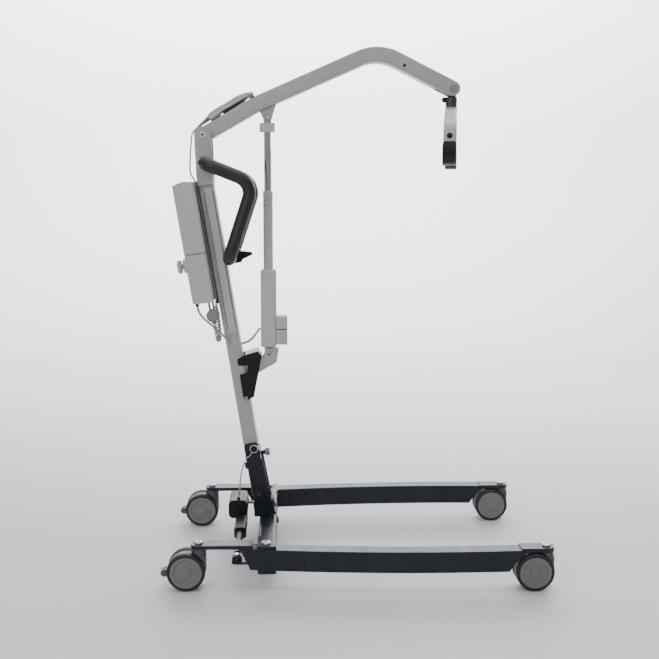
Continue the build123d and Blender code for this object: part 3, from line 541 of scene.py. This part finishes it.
BOX_FRONT, BOX_SHOULDER, BOX_REAR = -0.0285, -0.058, -0.088
BOX_WIDE, BOX_NARROW = 0.080, 0.054
UNIT_FOOT, UNIT_TOP = 0.560, 0.6935
BATTERY_FOOT = 0.6945
BATTERY_TOPS = {BOX_FRONT: 0.8825, BOX_SHOULDER: 0.889, BOX_REAR: 0.8805}


def box_section(inset=0.0):
    """Outline of the control box with its rear corners cut off, in the mast's frame."""
    front, rear = BOX_FRONT - inset, BOX_REAR + inset
    wide, narrow = BOX_WIDE - inset, BOX_NARROW - inset
    return [(front, -wide), (front, wide), (BOX_SHOULDER, wide), (rear, narrow), (rear, -narrow),
            (BOX_SHOULDER, -wide)]


def add_control_box():
    """Lower unit, battery with a sloping top, the joint between them and small fittings."""
    unit = prism(box_section(), UNIT_FOOT, UNIT_TOP, MAST, axis="Z")
    add_piece("control_unit_shell", unit, "box_plastic", "mast_body", ["control_unit"], 0.004, 4)
    battery = bmesh.new()
    rings = []
    for top in (False, True):
        ring = []
        for v, y in box_section():
            height = BATTERY_TOPS[v] if top else BATTERY_FOOT
            ring.append(battery.verts.new(MAST @ Vector((v, y, height))))
        rings.append(ring)
    join_rings(battery, *rings)
    battery.faces.new(rings[0])
    battery.faces.new(rings[1])
    add_piece("battery_shell", battery, "box_plastic", "battery_body", ["battery"], 0.004, 4)
    band = prism(box_section(0.0012), 0.6928, 0.6950, MAST, axis="Z")
    add_piece("box_joint", band, "mark_grey", "mast_body")
    gland = [(0.0062, 0.561), (0.0062, 0.557), (0.0050, 0.556), (0.0046, 0.5525), (0.0034, 0.5495),
             (0.0030, 0.5495)]
    place = MAST @ Matrix.Translation((-0.078, -0.036, 0))
    add_piece("box_gland", lathe(gland, place, 32), "black_plastic", "mast_body")
    latch = prism(rounded_rectangle(0.014, 0.006, 0.003), -0.0892, -0.0872,
                  MAST @ Matrix.Translation((0, 0, 0.712)) @ TO_REAR)
    add_piece("battery_latch", latch, "mark_grey", "battery_body", bevel=0.0006)
    # painted shade: six dark slots standing for the shade inside the box's vents
    for index in range(6):
        slot = prism(rounded_rectangle(0.018, 0.0012, 0.001), -0.0884, -0.0876,
                     MAST @ Matrix.Translation((0, 0, 0.588 + 0.005 * index)) @ TO_REAR)
        add_piece(f"box_vent_shade_{index + 1}", slot, "dark_trim_and_painted_shade", "mast_body")


def add_stop_button():
    """Collar in the box and a mushroom head with a ridged rim."""
    place = MAST @ Matrix.Translation((0, 0, 0.662)) @ BACKWARD
    collar = [(0.0078, 0.0990), (0.0165, 0.1000), (0.0190, 0.0985), (0.0195, 0.0965), (0.0195, 0.0870)]
    add_piece("stop_collar", lathe(collar, place), "box_plastic", "mast_body")
    head = [(0.007, 0.092), (0.007, 0.1047), (0.0175, 0.1047), (0.0185, 0.1060), (0.0185, 0.1135),
            (0.0170, 0.1160), (0.0120, 0.1172), (0, 0.1174)]
    add_piece("stop_head", lathe(head, place, 72, lobes=24, lobe_depth=0.02), "box_plastic",
              "stop_button_body", ["stop_button"])


def add_plug():
    """Round plug under the box, two prongs and a ribbed strain relief."""
    across = MAST @ Matrix.Translation((-0.0395, 0, 0.521)) @ ACROSS
    shell = [(0, -0.060), (0.0130, -0.060), (0.0165, -0.0585), (0.0180, -0.0560), (0.0180, -0.0490),
             (0.0172, -0.0484), (0.0172, -0.0476), (0.0180, -0.0470), (0.0180, -0.0400), (0.0165, -0.0372),
             (0.0130, -0.0360), (0, -0.0360)]
    body = lathe(shell, across, 56)
    for v in (-0.045, -0.034):
        merge(body, lathe([(0.003, 0.534), (0.003, 0.560)], MAST @ Matrix.Translation((v, -0.048, 0)), 20))
    upright = MAST @ Matrix.Translation((-0.0395, -0.048, 0))
    relief = [(0.0075, 0.506)]
    for rib in range(4):
        w = 0.5045 - 0.0020 * rib
        relief += [(0.0072 - 0.0006 * rib, w), (0.0060 - 0.0006 * rib, w - 0.0008)]
    relief += [(0.0026, 0.4965)]
    merge(body, lathe(relief, upright, 32))
    add_piece("plug_body", body, "mark_grey", "mast_body", ["handset_plug"])


# ---------------------------------------------------------------- push handle
HANDLE_TOP = Vector((-0.398, 0, 1.100))
HANDLE_CORNER = Vector((-0.266, 0, 1.048))
HANDLE_FOOT = Vector((-0.3326, 0, 0.848))
HANDLE_Y = 0.110
HANDLE_BENDS = [0.030, 0.045, 0.030]
GRIP_R, GRIP_START_Y, GRIP_END_Y, GRIP_ROUND = 0.0174, 0.038, 0.031, 0.008


def add_grips():
    """Foam sleeves with rounded ends that follow both loops."""
    for name, side in SIDES:
        stops = ((HANDLE_TOP, GRIP_START_Y), (HANDLE_TOP, HANDLE_Y), (HANDLE_CORNER, HANDLE_Y),
                 (HANDLE_FOOT, HANDLE_Y), (HANDLE_FOOT, GRIP_END_Y))
        corners = [Vector((place.x, y * side, place.z)) for place, y in stops]
        path = subdivided(rounded_path(corners, HANDLE_BENDS, 14), 0.006)
        total = length_of(path)
        along, scales = 0.0, []
        for i, point in enumerate(path):
            along += (point - path[i - 1]).length if i else 0
            near = min(1, min(along, total - along) / GRIP_ROUND)
            rim = 0.66 + 0.34 * math.sqrt(max(0, 1 - (1 - near) ** 2))
            scales.append((rim, rim))
        sleeve = sweep(path, circle(GRIP_R, 40), side=(0, 0, 1), scales=scales)
        add_piece(f"{name}_grip_sleeve", sleeve, "grip_foam", "mast_body",
                  ["handle_grips"] if name == "right" else (), sharp=60)


# ---------------------------------------------------------------- boom
BOOM_BEND = Vector((-0.259, 0, 1.257))
BOOM_CROWN = Vector((0.0644, 0, 1.3976))
BOOM_HALF_HEIGHT, BOOM_HALF_WIDTH = 0.020, 0.025
BRACKET_EYE_X, BRACKET_EYE_Z, BRACKET_EYE_R = -0.231, 1.2229, 0.012


def add_boom():
    """Bent tube with soft corners and rounded ends, and the actuator's bracket plates below it."""
    line = rounded_path([BOOM_PIVOT, BOOM_BEND, BOOM_CROWN, BOOM_TIP], [0.300, 0.117], 16)
    back = (line[0] - line[1]).normalized()
    out = (line[-1] - line[-2]).normalized()
    cap = [math.radians(a) for a in (15, 30, 45, 58, 70, 80, 87)]
    rear = [(line[0] + back * BOOM_HALF_HEIGHT * math.sin(a), math.cos(a)) for a in reversed(cap)]
    front = [(line[-1] + out * BOOM_HALF_HEIGHT * math.sin(a), math.cos(a)) for a in cap]
    path = [p for p, _ in rear] + line + [p for p, _ in front]
    scales = [(1, s) for _, s in rear] + [(1, 1)] * len(line) + [(1, s) for _, s in front]
    section = rounded_rectangle(BOOM_HALF_WIDTH, BOOM_HALF_HEIGHT, 0.0045)
    tube = sweep(path, section, scales=scales)
    add_piece("boom_tube", tube, "frame_paint", "boom_body", ["boom"], sharp=50)

    bracket = [(-0.262, 1.262), (-0.208, 1.286), (-0.206, 1.262)]
    bracket += arc((BRACKET_EYE_X, BRACKET_EYE_Z), BRACKET_EYE_R, -20, -160, 12)
    for name, low in (("left", 0.011), ("right", -0.015)):
        plate = prism(bracket, low, low + 0.004)
        add_piece(f"boom_bracket_{name}", plate, "frame_paint", "boom_body", bevel=0.0008)
    low, high = box_outline("actuator_head")
    eye = Vector(((low.x + high.x) / 2 + 0.0005, 0, BRACKET_EYE_Z))
    boss = [(0, 0.0192), (0.0060, 0.0192), (0.0075, 0.0180), (0.0080, 0.0165), (0.0080, 0.0148)]
    for name, side in SIDES:
        bolt = lathe(boss, outward(eye, side), 40)
        add_piece(f"boom_bracket_bolt_{name}", bolt, "bolt_steel", "boom_body")


def add_boom_trim():
    """Small plug near the crown, and a dark strip below the tip painted as the shade in its slot."""
    button = [(0, 0.0262), (0.0030, 0.0262), (0.0042, 0.0256), (0.0045, 0.0248)]
    for name, side in SIDES:
        plug = lathe(button, outward((0.1337, 0, 1.357), side), 32)
        add_piece(f"boom_plug_{name}", plug, "dark_trim_and_painted_shade", "boom_body")
    along = (BOOM_TIP - BOOM_CROWN).normalized()
    down = Vector((along.z, 0, -along.x))
    start = BOOM_TIP - along * 0.042 + down * 0.0195
    end = BOOM_TIP + along * 0.004 + down * 0.0195
    # painted shade: dark strip for the shade inside the slot under the boom tip
    trim = sweep([start, end], rounded_rectangle(0.0095, 0.0014, 0.0009))
    add_piece("tip_slot_shade", trim, "dark_trim_and_painted_shade", "boom_body")


ROCKERS = {"boom_rocker": 0.073, "leg_rocker": 0.112}


def add_handset():
    """Hand control over the boom: shell, darker lower half, a black wedge of painted shade in the gap above
    the boom, rockers with arrows and a ribbed tail.
    """
    shell = [(0.0365, 0.0245), (0.0365, 0.0365), (0.044, 0.0415), (0.092, 0.042), (0.128, 0.0435),
             (0.156, 0.039), (0.172, 0.031), (0.1715, 0.028), (0.155, 0.0290), (0.072, 0.0290),
             (0.046, 0.0245)]
    add_piece("handset_shell", prism(shell, -0.027, 0.027, BOOM), "actuator_plastic", "boom_body",
              ["handset"], 0.0024, 4)
    lower = [(0.0385, 0.0208), (0.037, 0.0250), (0.046, 0.0250), (0.071, 0.0292), (0.155, 0.0292),
             (0.1705, 0.0282), (0.171, 0.0208), (0.163, 0.0208), (0.155, 0.027), (0.072, 0.027),
             (0.062, 0.0208)]
    add_piece("handset_hook", prism(lower, -0.0262, 0.0262, BOOM), "mark_grey", "boom_body", bevel=0.0007)
    # painted shade: black wedge filling the gap between the handset's underside and the boom
    shaded_gap = [(0.078, 0.0205), (0.074, 0.0268), (0.153, 0.0268), (0.140, 0.0235)]
    add_piece("handset_gap_shade", prism(shaded_gap, -0.0240, 0.0240, BOOM), "black_plastic", "boom_body",
              bevel=0.0008)
    tail = Matrix.Translation((0.043, 0, 0.033)) @ Matrix.Rotation(math.radians(-98.4), 4, "Y")
    relief = [(0.0082, -0.004), (0.0082, 0.006), (0.0070, 0.0075)]
    for rib in range(11):
        z = 0.0085 + 0.0033 * rib
        radius = 0.0068 - 0.00032 * rib
        groove = radius - 0.0013
        relief += [(radius, z), (radius, z + 0.0017), (groove, z + 0.0020), (groove, z + 0.0031)]
    relief += [(0.0030, 0.0460), (0.0024, 0.0470)]
    add_piece("handset_tail", lathe(relief, BOOM @ tail, 32), "mark_grey", "boom_body")
    for node, u in ROCKERS.items():
        pad = prism(rounded_rectangle(0.0135, 0.0135, 0.004), 0.0398, 0.0440,
                    BOOM @ Matrix.Translation((u, 0, 0)), axis="Z")
        add_piece(node + "_pad", pad, "black_plastic", NODE_BODY[node], [node], 0.001, 3)
        for name, way in (("up", 1), ("down", -1)):
            arrow = [(way * 0.0105, 0), (way * 0.0050, 0.0040), (way * 0.0050, -0.0040)]
            mark = prism(arrow, 0.0438, 0.04425, BOOM @ Matrix.Translation((u, 0, 0)), axis="Z")
            add_piece(f"{node}_{name}_arrow", mark, "box_plastic", NODE_BODY[node])


# ---------------------------------------------------------------- lifting actuator
def rounded_block(low, high, corner, place=Matrix()):
    """Upright block with round corners."""
    middle = ((low[0] + high[0]) / 2, (low[1] + high[1]) / 2)
    outline = rounded_rectangle((high[0] - low[0]) / 2, (high[1] - low[1]) / 2, corner)
    outline = [(a + middle[0], b + middle[1]) for a, b in outline]
    return prism(outline, low[2], high[2], place, axis="Z")


def add_actuator():
    """Housing, motor pod with a cap, outer tube with a collar, and rod; the head stays the CAD node."""
    low, high = box_outline("actuator_housing")
    foot_top = 0.600
    shell = rounded_block((low.x, low.y, foot_top), high, 0.007)
    add_piece("actuator_shell", shell, "actuator_plastic", "actuator_body", ["actuator_housing"], 0.0025, 3)
    eye = joint_place("actuator_tilt")
    lug = [(eye.x + a, eye.z + b) for a, b in arc((0, 0), 0.012, 180, 360, 16)]
    lug += [(eye.x + 0.012, foot_top + 0.002), (eye.x - 0.012, foot_top + 0.002)]
    add_piece("actuator_foot_lug", prism(lug, -0.010, 0.010), "actuator_plastic", "actuator_body",
              bevel=0.001)
    x = (low.x + high.x) / 2
    axis = Matrix.Translation((x, 0, 0))
    collar = [(0.0132, 0.8110), (0.0190, 0.8116), (0.0184, 0.8136), (0.0150, 0.8146), (0.0134, 0.8146)]
    add_piece("actuator_collar", lathe(collar, axis), "box_plastic", "actuator_body")

    low, high = box_outline("actuator_motor")
    seam_z = 0.649
    lower = rounded_block((low.x - 0.002, low.y, low.z), (high.x, high.y, seam_z - 0.0006), 0.009)
    add_piece("motor_pod", lower, "actuator_plastic", "actuator_body", ["actuator_motor"], 0.002, 3)
    upper = rounded_block((low.x - 0.002, low.y, seam_z + 0.0006), high, 0.009)
    add_piece("motor_cap", upper, "box_plastic", "actuator_body", bevel=0.004, segments=4)
    waist = rounded_block((low.x - 0.001, low.y + 0.001, seam_z - 0.001),
                          (high.x - 0.001, high.y - 0.001, seam_z + 0.001), 0.008)
    add_piece("motor_seam", waist, "dark_trim_and_painted_shade", "actuator_body")
    for name, z in (("low", 0.618), ("mid", 0.640), ("high", 0.668)):
        centre = Vector(((low.x + high.x) / 2, low.y, z))
        add_socket(f"motor_screw_{name}", centre, (0, -1, 0), 0.0022, "actuator_body")

    low, high = box_outline("actuator_tube")
    tube = [(0.0101, high.z), (0.0122, high.z + 0.0008), (0.0134, high.z), (0.0134, high.z - 0.016),
            (0.0131, high.z - 0.0165), (0.0131, 0.805)]
    add_piece("actuator_outer_tube", lathe(tube, axis), "actuator_plastic", "actuator_body",
              ["actuator_tube"])
    marks = bmesh.new()
    line = arc((x, 0), 0.0135, 192, 192 + 46, 12)
    for z in (0.988, 1.000):
        low_row, high_row = [[marks.verts.new((a, b, height)) for a, b in line] for height in (z, z + 0.0022)]
        for i in range(len(line) - 1):
            marks.faces.new((low_row[i], low_row[i + 1], high_row[i + 1], high_row[i]))
    add_piece("actuator_red_marks", marks, "mark_red", "actuator_body")

    low, high = box_outline("actuator_rod")
    rod = [(0.0100, 0.9), (0.0100, high.z)]
    add_piece("actuator_chrome_rod", lathe(rod, axis), "rod_chrome", "actuator_rod_body", ["actuator_rod"])


# ---------------------------------------------------------------- spreader
def add_spreader():
    """Arched bar with soft corners, its boss, and two flanged hooks."""
    arch_r, top = 0.391, 1.246
    centre_z = top - 0.010 - arch_r
    reach = math.asin(0.188 / arch_r)
    path = []
    for i in range(49):
        angle = -reach + 2 * reach * i / 48
        path.append(SPREADER @ Vector((0, arch_r * math.sin(angle), centre_z + arch_r * math.cos(angle))))
    # The left end's upper point goes in two places early, so the bar folds back on itself there.
    for way, end in ((-1, 0), (1, len(path))):
        path.insert(end, SPREADER @ Vector((0, way * 0.1955, 1.178)))
        path.insert(end and len(path), SPREADER @ Vector((0, way * 0.1960, 1.1505)))
    side = SPREADER.to_3x3() @ Vector((1, 0, 0))
    bar = sweep(path, rounded_rectangle(0.016, 0.010, 0.0045), side=side)
    add_piece("spreader_arch", bar, "spreader_paint", "spreader_body", ["spreader_bar"], sharp=50)
    boss = [(0.0165, 1.2370), (0.0170, 1.2385), (0.0170, 1.2490), (0.0160, 1.2500), (0.0070, 1.2500),
            (0.0070, 1.26)]
    add_piece("spreader_boss", lathe(boss, SPREADER), "spreader_paint", "spreader_body")
    for name, way in SIDES:
        add_hook(name, way)


def add_hook(name, way):
    """Hook as a web between two thicker flanges, with its mouth up and out."""
    y, z = way * 0.218, 1.124
    middle, outer = 0.025, 0.034
    start = [(way * 0.195, 1.1500), (way * 0.194, 1.142)]
    bend = [(y - way * middle * math.cos(math.radians(a)), z - middle * math.sin(math.radians(a)))
            for a in range(0, 181, 10)]
    tip = [(y + way * 0.025, 1.138), (y + way * 0.0245, 1.144), (y + way * 0.024, 1.1480)]
    path = [SPREADER @ Vector((0, a, b)) for a, b in start + bend + tip]
    side = SPREADER.to_3x3() @ Vector((1, 0, 0))
    half = outer - middle
    wide, thin, lip = 0.017, 0.0045, 0.0030
    web = half - lip - 0.001
    section = [(-wide, -half), (wide, -half), (wide, -half + lip), (thin, -web), (thin, web),
               (wide, half - lip), (wide, half), (-wide, half), (-wide, half - lip), (-thin, web),
               (-thin, -web), (-wide, -half + lip)]
    scales = [(0.95, 0.8), (1, 0.9)] + [(1, 1)] * len(bend) + [(1, 1), (0.93, 0.9), (0.72, 0.7)]
    hook = sweep(path, section, side=side, scales=scales)
    bolt = [(0.0070, 0.196), (0.0075, 0.2005), (0.0075, 0.2055), (0.0062, 0.2070), (0, 0.2070)]
    merge(hook, lathe(bolt, SPREADER @ outward((0, 0, 1.164), way), 40))
    add_piece(f"{name}_hook_body", hook, "black_metal", "spreader_body",
              ["spreader_hooks"] if way > 0 else (), 0.0009, 2)


def add_hanger_trim():
    """Ribbed spring knob behind the hanger."""
    low, high = box_outline("latch_knob")
    centre = Vector((high.x, 0, (low.z + high.z) / 2))
    place = Matrix.Translation(centre) @ BACKWARD
    size = high.x - low.x
    knob = [(0.003, 0), (0.003, size - 0.0095), (0.0078, size - 0.0090), (0.0080, size - 0.0075),
            (0.0052, size - 0.0010), (0.0042, size), (0, size)]
    add_piece("latch_knob_grip", lathe(knob, place, 60, lobes=15, lobe_depth=0.05), "black_plastic",
              "latch_knob_body", ["latch_knob"])


# ---------------------------------------------------------------- locks
def add_lock_knob():
    """Knurled knob with a pale face on a dark stem."""
    place = MAST @ Matrix.Translation((0, 0, 0.108)) @ FORWARD
    stem = [(0.0040, 0.0208), (0.0060, 0.0225), (0.0060, 0.0360)]
    add_piece("lock_knob_stem", lathe(stem, place, 32), "black_plastic", "locking_knob_body",
              ["locking_knob"])
    grip = [(0.0050, 0.0345), (0.0090, 0.0348), (0.0105, 0.0362), (0.0105, 0.0450), (0.0095, 0.0475),
            (0, 0.0479)]
    add_piece("lock_knob_grip", lathe(grip, place, 72, lobes=18, lobe_depth=0.07), "mark_grey",
              "locking_knob_body")


def add_lock_pin():
    """Quick-release pin: dark head, bright pull ring and a short wire tail."""
    centre = MAST @ Vector((0.008, 0, 0.134))
    across = Matrix.Translation(centre) @ ACROSS
    shank = [(0, -0.0465), (0.0060, -0.0465), (0.0078, -0.0450), (0.0078, -0.0372), (0.0050, -0.0370),
             (0.0050, 0.0405), (0.0040, 0.0420), (0, 0.0420)]
    add_piece("lock_pin_shank", lathe(shank, across, 40), "black_metal", "locking_pin_body", ["locking_pin"])
    ring = [(0.0105 + a, b - 0.0478) for a, b in arc((0, 0), 0.0013, 0, 360, 12)[:-1]]
    add_piece("lock_pin_ring", lathe(ring, across, 64, closed=True), "bolt_steel", "locking_pin_body")
    path = [MAST @ Vector(point) for point in ((0.001, -0.0478, 0.126), (-0.003, -0.0475, 0.120),
                                               (-0.009, -0.0470, 0.115), (-0.015, -0.0468, 0.1125))]
    add_piece("lock_pin_tail", sweep(path, circle(0.0014, 12)), "bolt_steel", "locking_pin_body")


FOLD_CAP_FACE = 0.0434      # from the mast's centre line out to the face of a fold cap


def add_fold_caps():
    """Dark caps over the fold bolt's ends."""
    cap = [(0.0152, 0.0362), (0.0153, 0.0395), (0.0140, 0.0422), (0.0115, 0.0432),
           (0.0060, FOLD_CAP_FACE), (0, FOLD_CAP_FACE)]
    for name, side in SIDES:
        place = outward(joint_place("mast_fold"), side)
        add_piece(f"fold_cap_{name}", lathe(cap, place, 56), "black_plastic", "base")


def add_bracket_bolts():
    """Bright bolt heads through the lifting actuator's foot plates."""
    face = 0.0192
    head = [(0.0090, 0.0150), (0.0092, 0.0165), (0.0080, 0.0190), (0.0074, face), (0, face)]
    eye = joint_place("actuator_tilt")
    for name, side in SIDES:
        add_piece(f"foot_bolt_{name}", lathe(head, outward(eye, side), 48), "bolt_steel", "mast_body")
        add_socket(f"foot_bolt_socket_{name}", eye + Vector((0, side * face, 0)), (0, side, 0), 0.0050,
                   "mast_body")


def add_brake_pedals():
    """Rounded toe tabs behind the rear wheels."""
    for side_name, _ in SIDES:
        node = f"{side_name}_rear_caster_brake"
        low, high = box_outline(node)
        middle = (low.z + high.z) / 2
        toe = arc((low.x + 0.0102, middle), 0.0100, 90, 270, 14)
        root_low, root_high = [(low.x + 0.022, middle + rise) for rise in (-0.0085, 0.0085)]
        pin_low, pin_high = [(high.x - 0.001, middle + rise) for rise in (-0.0065, 0.0065)]
        pad = prism(toe + [root_low, root_high], low.y + 0.002, high.y - 0.002)
        add_piece(node + "_pad", pad, "caster_plastic", NODE_BODY[node], [node], 0.0022, 3)
        y = (low.y + high.y) / 2
        arm = prism(toe + [root_low, pin_low, pin_high, root_high], y - 0.0045, y + 0.0045)
        add_piece(node + "_arm", arm, "caster_plastic", NODE_BODY[node], bevel=0.001)


def add_bolt_sockets():
    """Hexagon sockets in the larger bolt heads."""
    up = (0, 0, 1)
    for name, side in SIDES:
        for end, top in (("rear", 0.126), ("front", 0.119)):
            stem = joint_place(f"{name}_{end}_caster_swivel_turn")
            add_socket(f"{name}_{end}_stem_socket", Vector((stem.x, stem.y, top)), up, 0.0055,
                       f"{name}_leg_body")
        leg = joint_place(f"{name}_leg_spread")
        add_socket(f"{name}_leg_pivot_socket", Vector((leg.x, leg.y, 0.125)), up, 0.006, "base")
        fold = joint_place("mast_fold") + Vector((0, side * FOLD_CAP_FACE, 0))
        add_socket(f"fold_bolt_socket_{name}", fold, (0, side, 0), 0.0035, "base")
        pin = BOOM_PIVOT + Vector((0, side * 0.039, 0))
        add_socket(f"boom_bolt_socket_{name}", pin, (0, side, 0), 0.0052, "boom_body")


# ---------------------------------------------------------------- carried nodes
SOFT_NODES = ("left_leg", "right_leg", "cross_member", "mast_socket", "park_bracket", "actuator_bracket",
              "handle_clamp", "clamp_lever", "actuator_head", "cable_cover", "box_bracket", "hanger",
              "left_hook_latch", "right_hook_latch")


def dress_carried_nodes():
    """Every CAD node takes its slot's material, and plain plates get soft edges."""
    for node, obj in frame["nodes"].items():
        obj.data.materials.clear()
        obj.data.materials.append(MATERIALS[NODE_SLOT[node]])
        if node in SOFT_NODES:
            soften(obj, 0.0006, 2)


# ---------------------------------------------------------------- studio
def studio_painted_falloff():
    """Floor and backdrop with light and shade painted into the colour: pale floor, a darker band where it
    bends up, brightening into a near-white backdrop.
    """
    material = surface("studio", (0.6, 0.6, 0.6), 0.60, tint=0.0, rough_spread=0.04, grain=0.03)
    tree = material.node_tree
    shader = tree.nodes["Principled BSDF"]
    place = tree.nodes.new("ShaderNodeTexCoord").outputs["Object"]
    split = tree.nodes.new("ShaderNodeSeparateXYZ")
    tree.links.new(place, split.inputs["Vector"])
    depth = tree.nodes.new("ShaderNodeMapRange")
    depth.inputs["From Min"].default_value = -1.0
    depth.inputs["From Max"].default_value = 4.5
    tree.links.new(split.outputs["Y"], depth.inputs["Value"])
    ramp = tree.nodes.new("ShaderNodeValToRGB")
    ramp.color_ramp.elements[0].position = 0.15
    ramp.color_ramp.elements[0].color = (0.62, 0.62, 0.64, 1)
    ramp.color_ramp.elements[1].position = 1.0
    ramp.color_ramp.elements[1].color = (0.93, 0.93, 0.95, 1)
    # painted shade: darker band at the bend into the backdrop; the brighter far end is painted light
    middle = ramp.color_ramp.elements.new(0.72)
    middle.color = (0.52, 0.54, 0.58, 1)
    tree.links.new(depth.outputs["Result"], ramp.inputs["Fac"])
    tree.links.new(ramp.outputs["Color"], shader.inputs["Base Color"])
    return material


def add_floor():
    """Floor that curves up into a pale backdrop."""
    front, bend, radius, top, half_width = -3.2, 3.0, 1.5, 6.0, 9
    profile = [(front, 0), (bend, 0)] + arc((bend, radius), radius, -90, 0, 16) + [(bend + radius, top)]
    mesh_data = bmesh.new()
    rows = [[mesh_data.verts.new((x, y, z)) for x in (-half_width, half_width)] for y, z in profile]
    for low, high in zip(rows, rows[1:]):
        mesh_data.faces.new((low[0], low[1], high[1], high[0]))
    mesh = bpy.data.meshes.new("floor")
    mesh_data.to_mesh(mesh)
    mesh_data.free()
    for face in mesh.polygons:
        face.use_smooth = True
    mesh.materials.append(studio_painted_falloff())
    floor = bpy.data.objects.new("floor", mesh)
    bpy.context.collection.objects.link(floor)


def add_light(name, place, target, size, power, colour=(1, 1, 1)):
    """Area light that faces a target."""
    data = bpy.data.lights.new(name, "AREA")
    data.shape = "RECTANGLE"
    data.size, data.size_y = size
    data.energy = power
    data.color = colour
    light = bpy.data.objects.new(name, data)
    light.location = place
    light.rotation_euler = (Vector(target) - Vector(place)).to_track_quat("-Z", "Y").to_euler()
    bpy.context.collection.objects.link(light)


def add_lights():
    """Soft light from above, in front and behind, a wash over the backdrop, and a dim sky."""
    add_light("top_soft", (0.2, 0.2, 3.4), (0, 0, 0.3), (3.6, 3.0), 85)
    add_light("front_soft", (-2.0, -3.4, 2.6), (-0.1, 0, 0.9), (2.4, 1.8), 62, (1.0, 0.99, 0.97))
    add_light("rear_rim", (2.2, 2.2, 2.4), (0, 0, 0.9), (1.6, 2.4), 45, (0.95, 0.97, 1.0))
    add_light("backdrop_wash", (0, 2.4, 3.4), (0, 4.6, 1.9), (7.0, 1.2), 620, (0.98, 0.98, 1.0))
    world = bpy.data.worlds.new("studio")
    world.use_nodes = True
    world.node_tree.nodes["Background"].inputs["Color"].default_value = (0.80, 0.82, 0.86, 1)
    world.node_tree.nodes["Background"].inputs["Strength"].default_value = 0.38
    bpy.context.scene.world = world


# ---------------------------------------------------------------- build
dress_carried_nodes()
for end in ("left_rear", "right_rear", "left_front", "right_front"):
    add_caster(f"{end}_caster")
add_cable_cover_gap_shade()
add_mast_screw_sockets()
add_control_box()
add_stop_button()
add_plug()
add_grips()
add_boom()
add_boom_trim()
add_handset()
add_actuator()
add_spreader()
add_hanger_trim()
add_lock_knob()
add_lock_pin()
add_fold_caps()
add_bracket_bolts()
add_brake_pedals()
add_bolt_sockets()
add_floor()
add_lights()
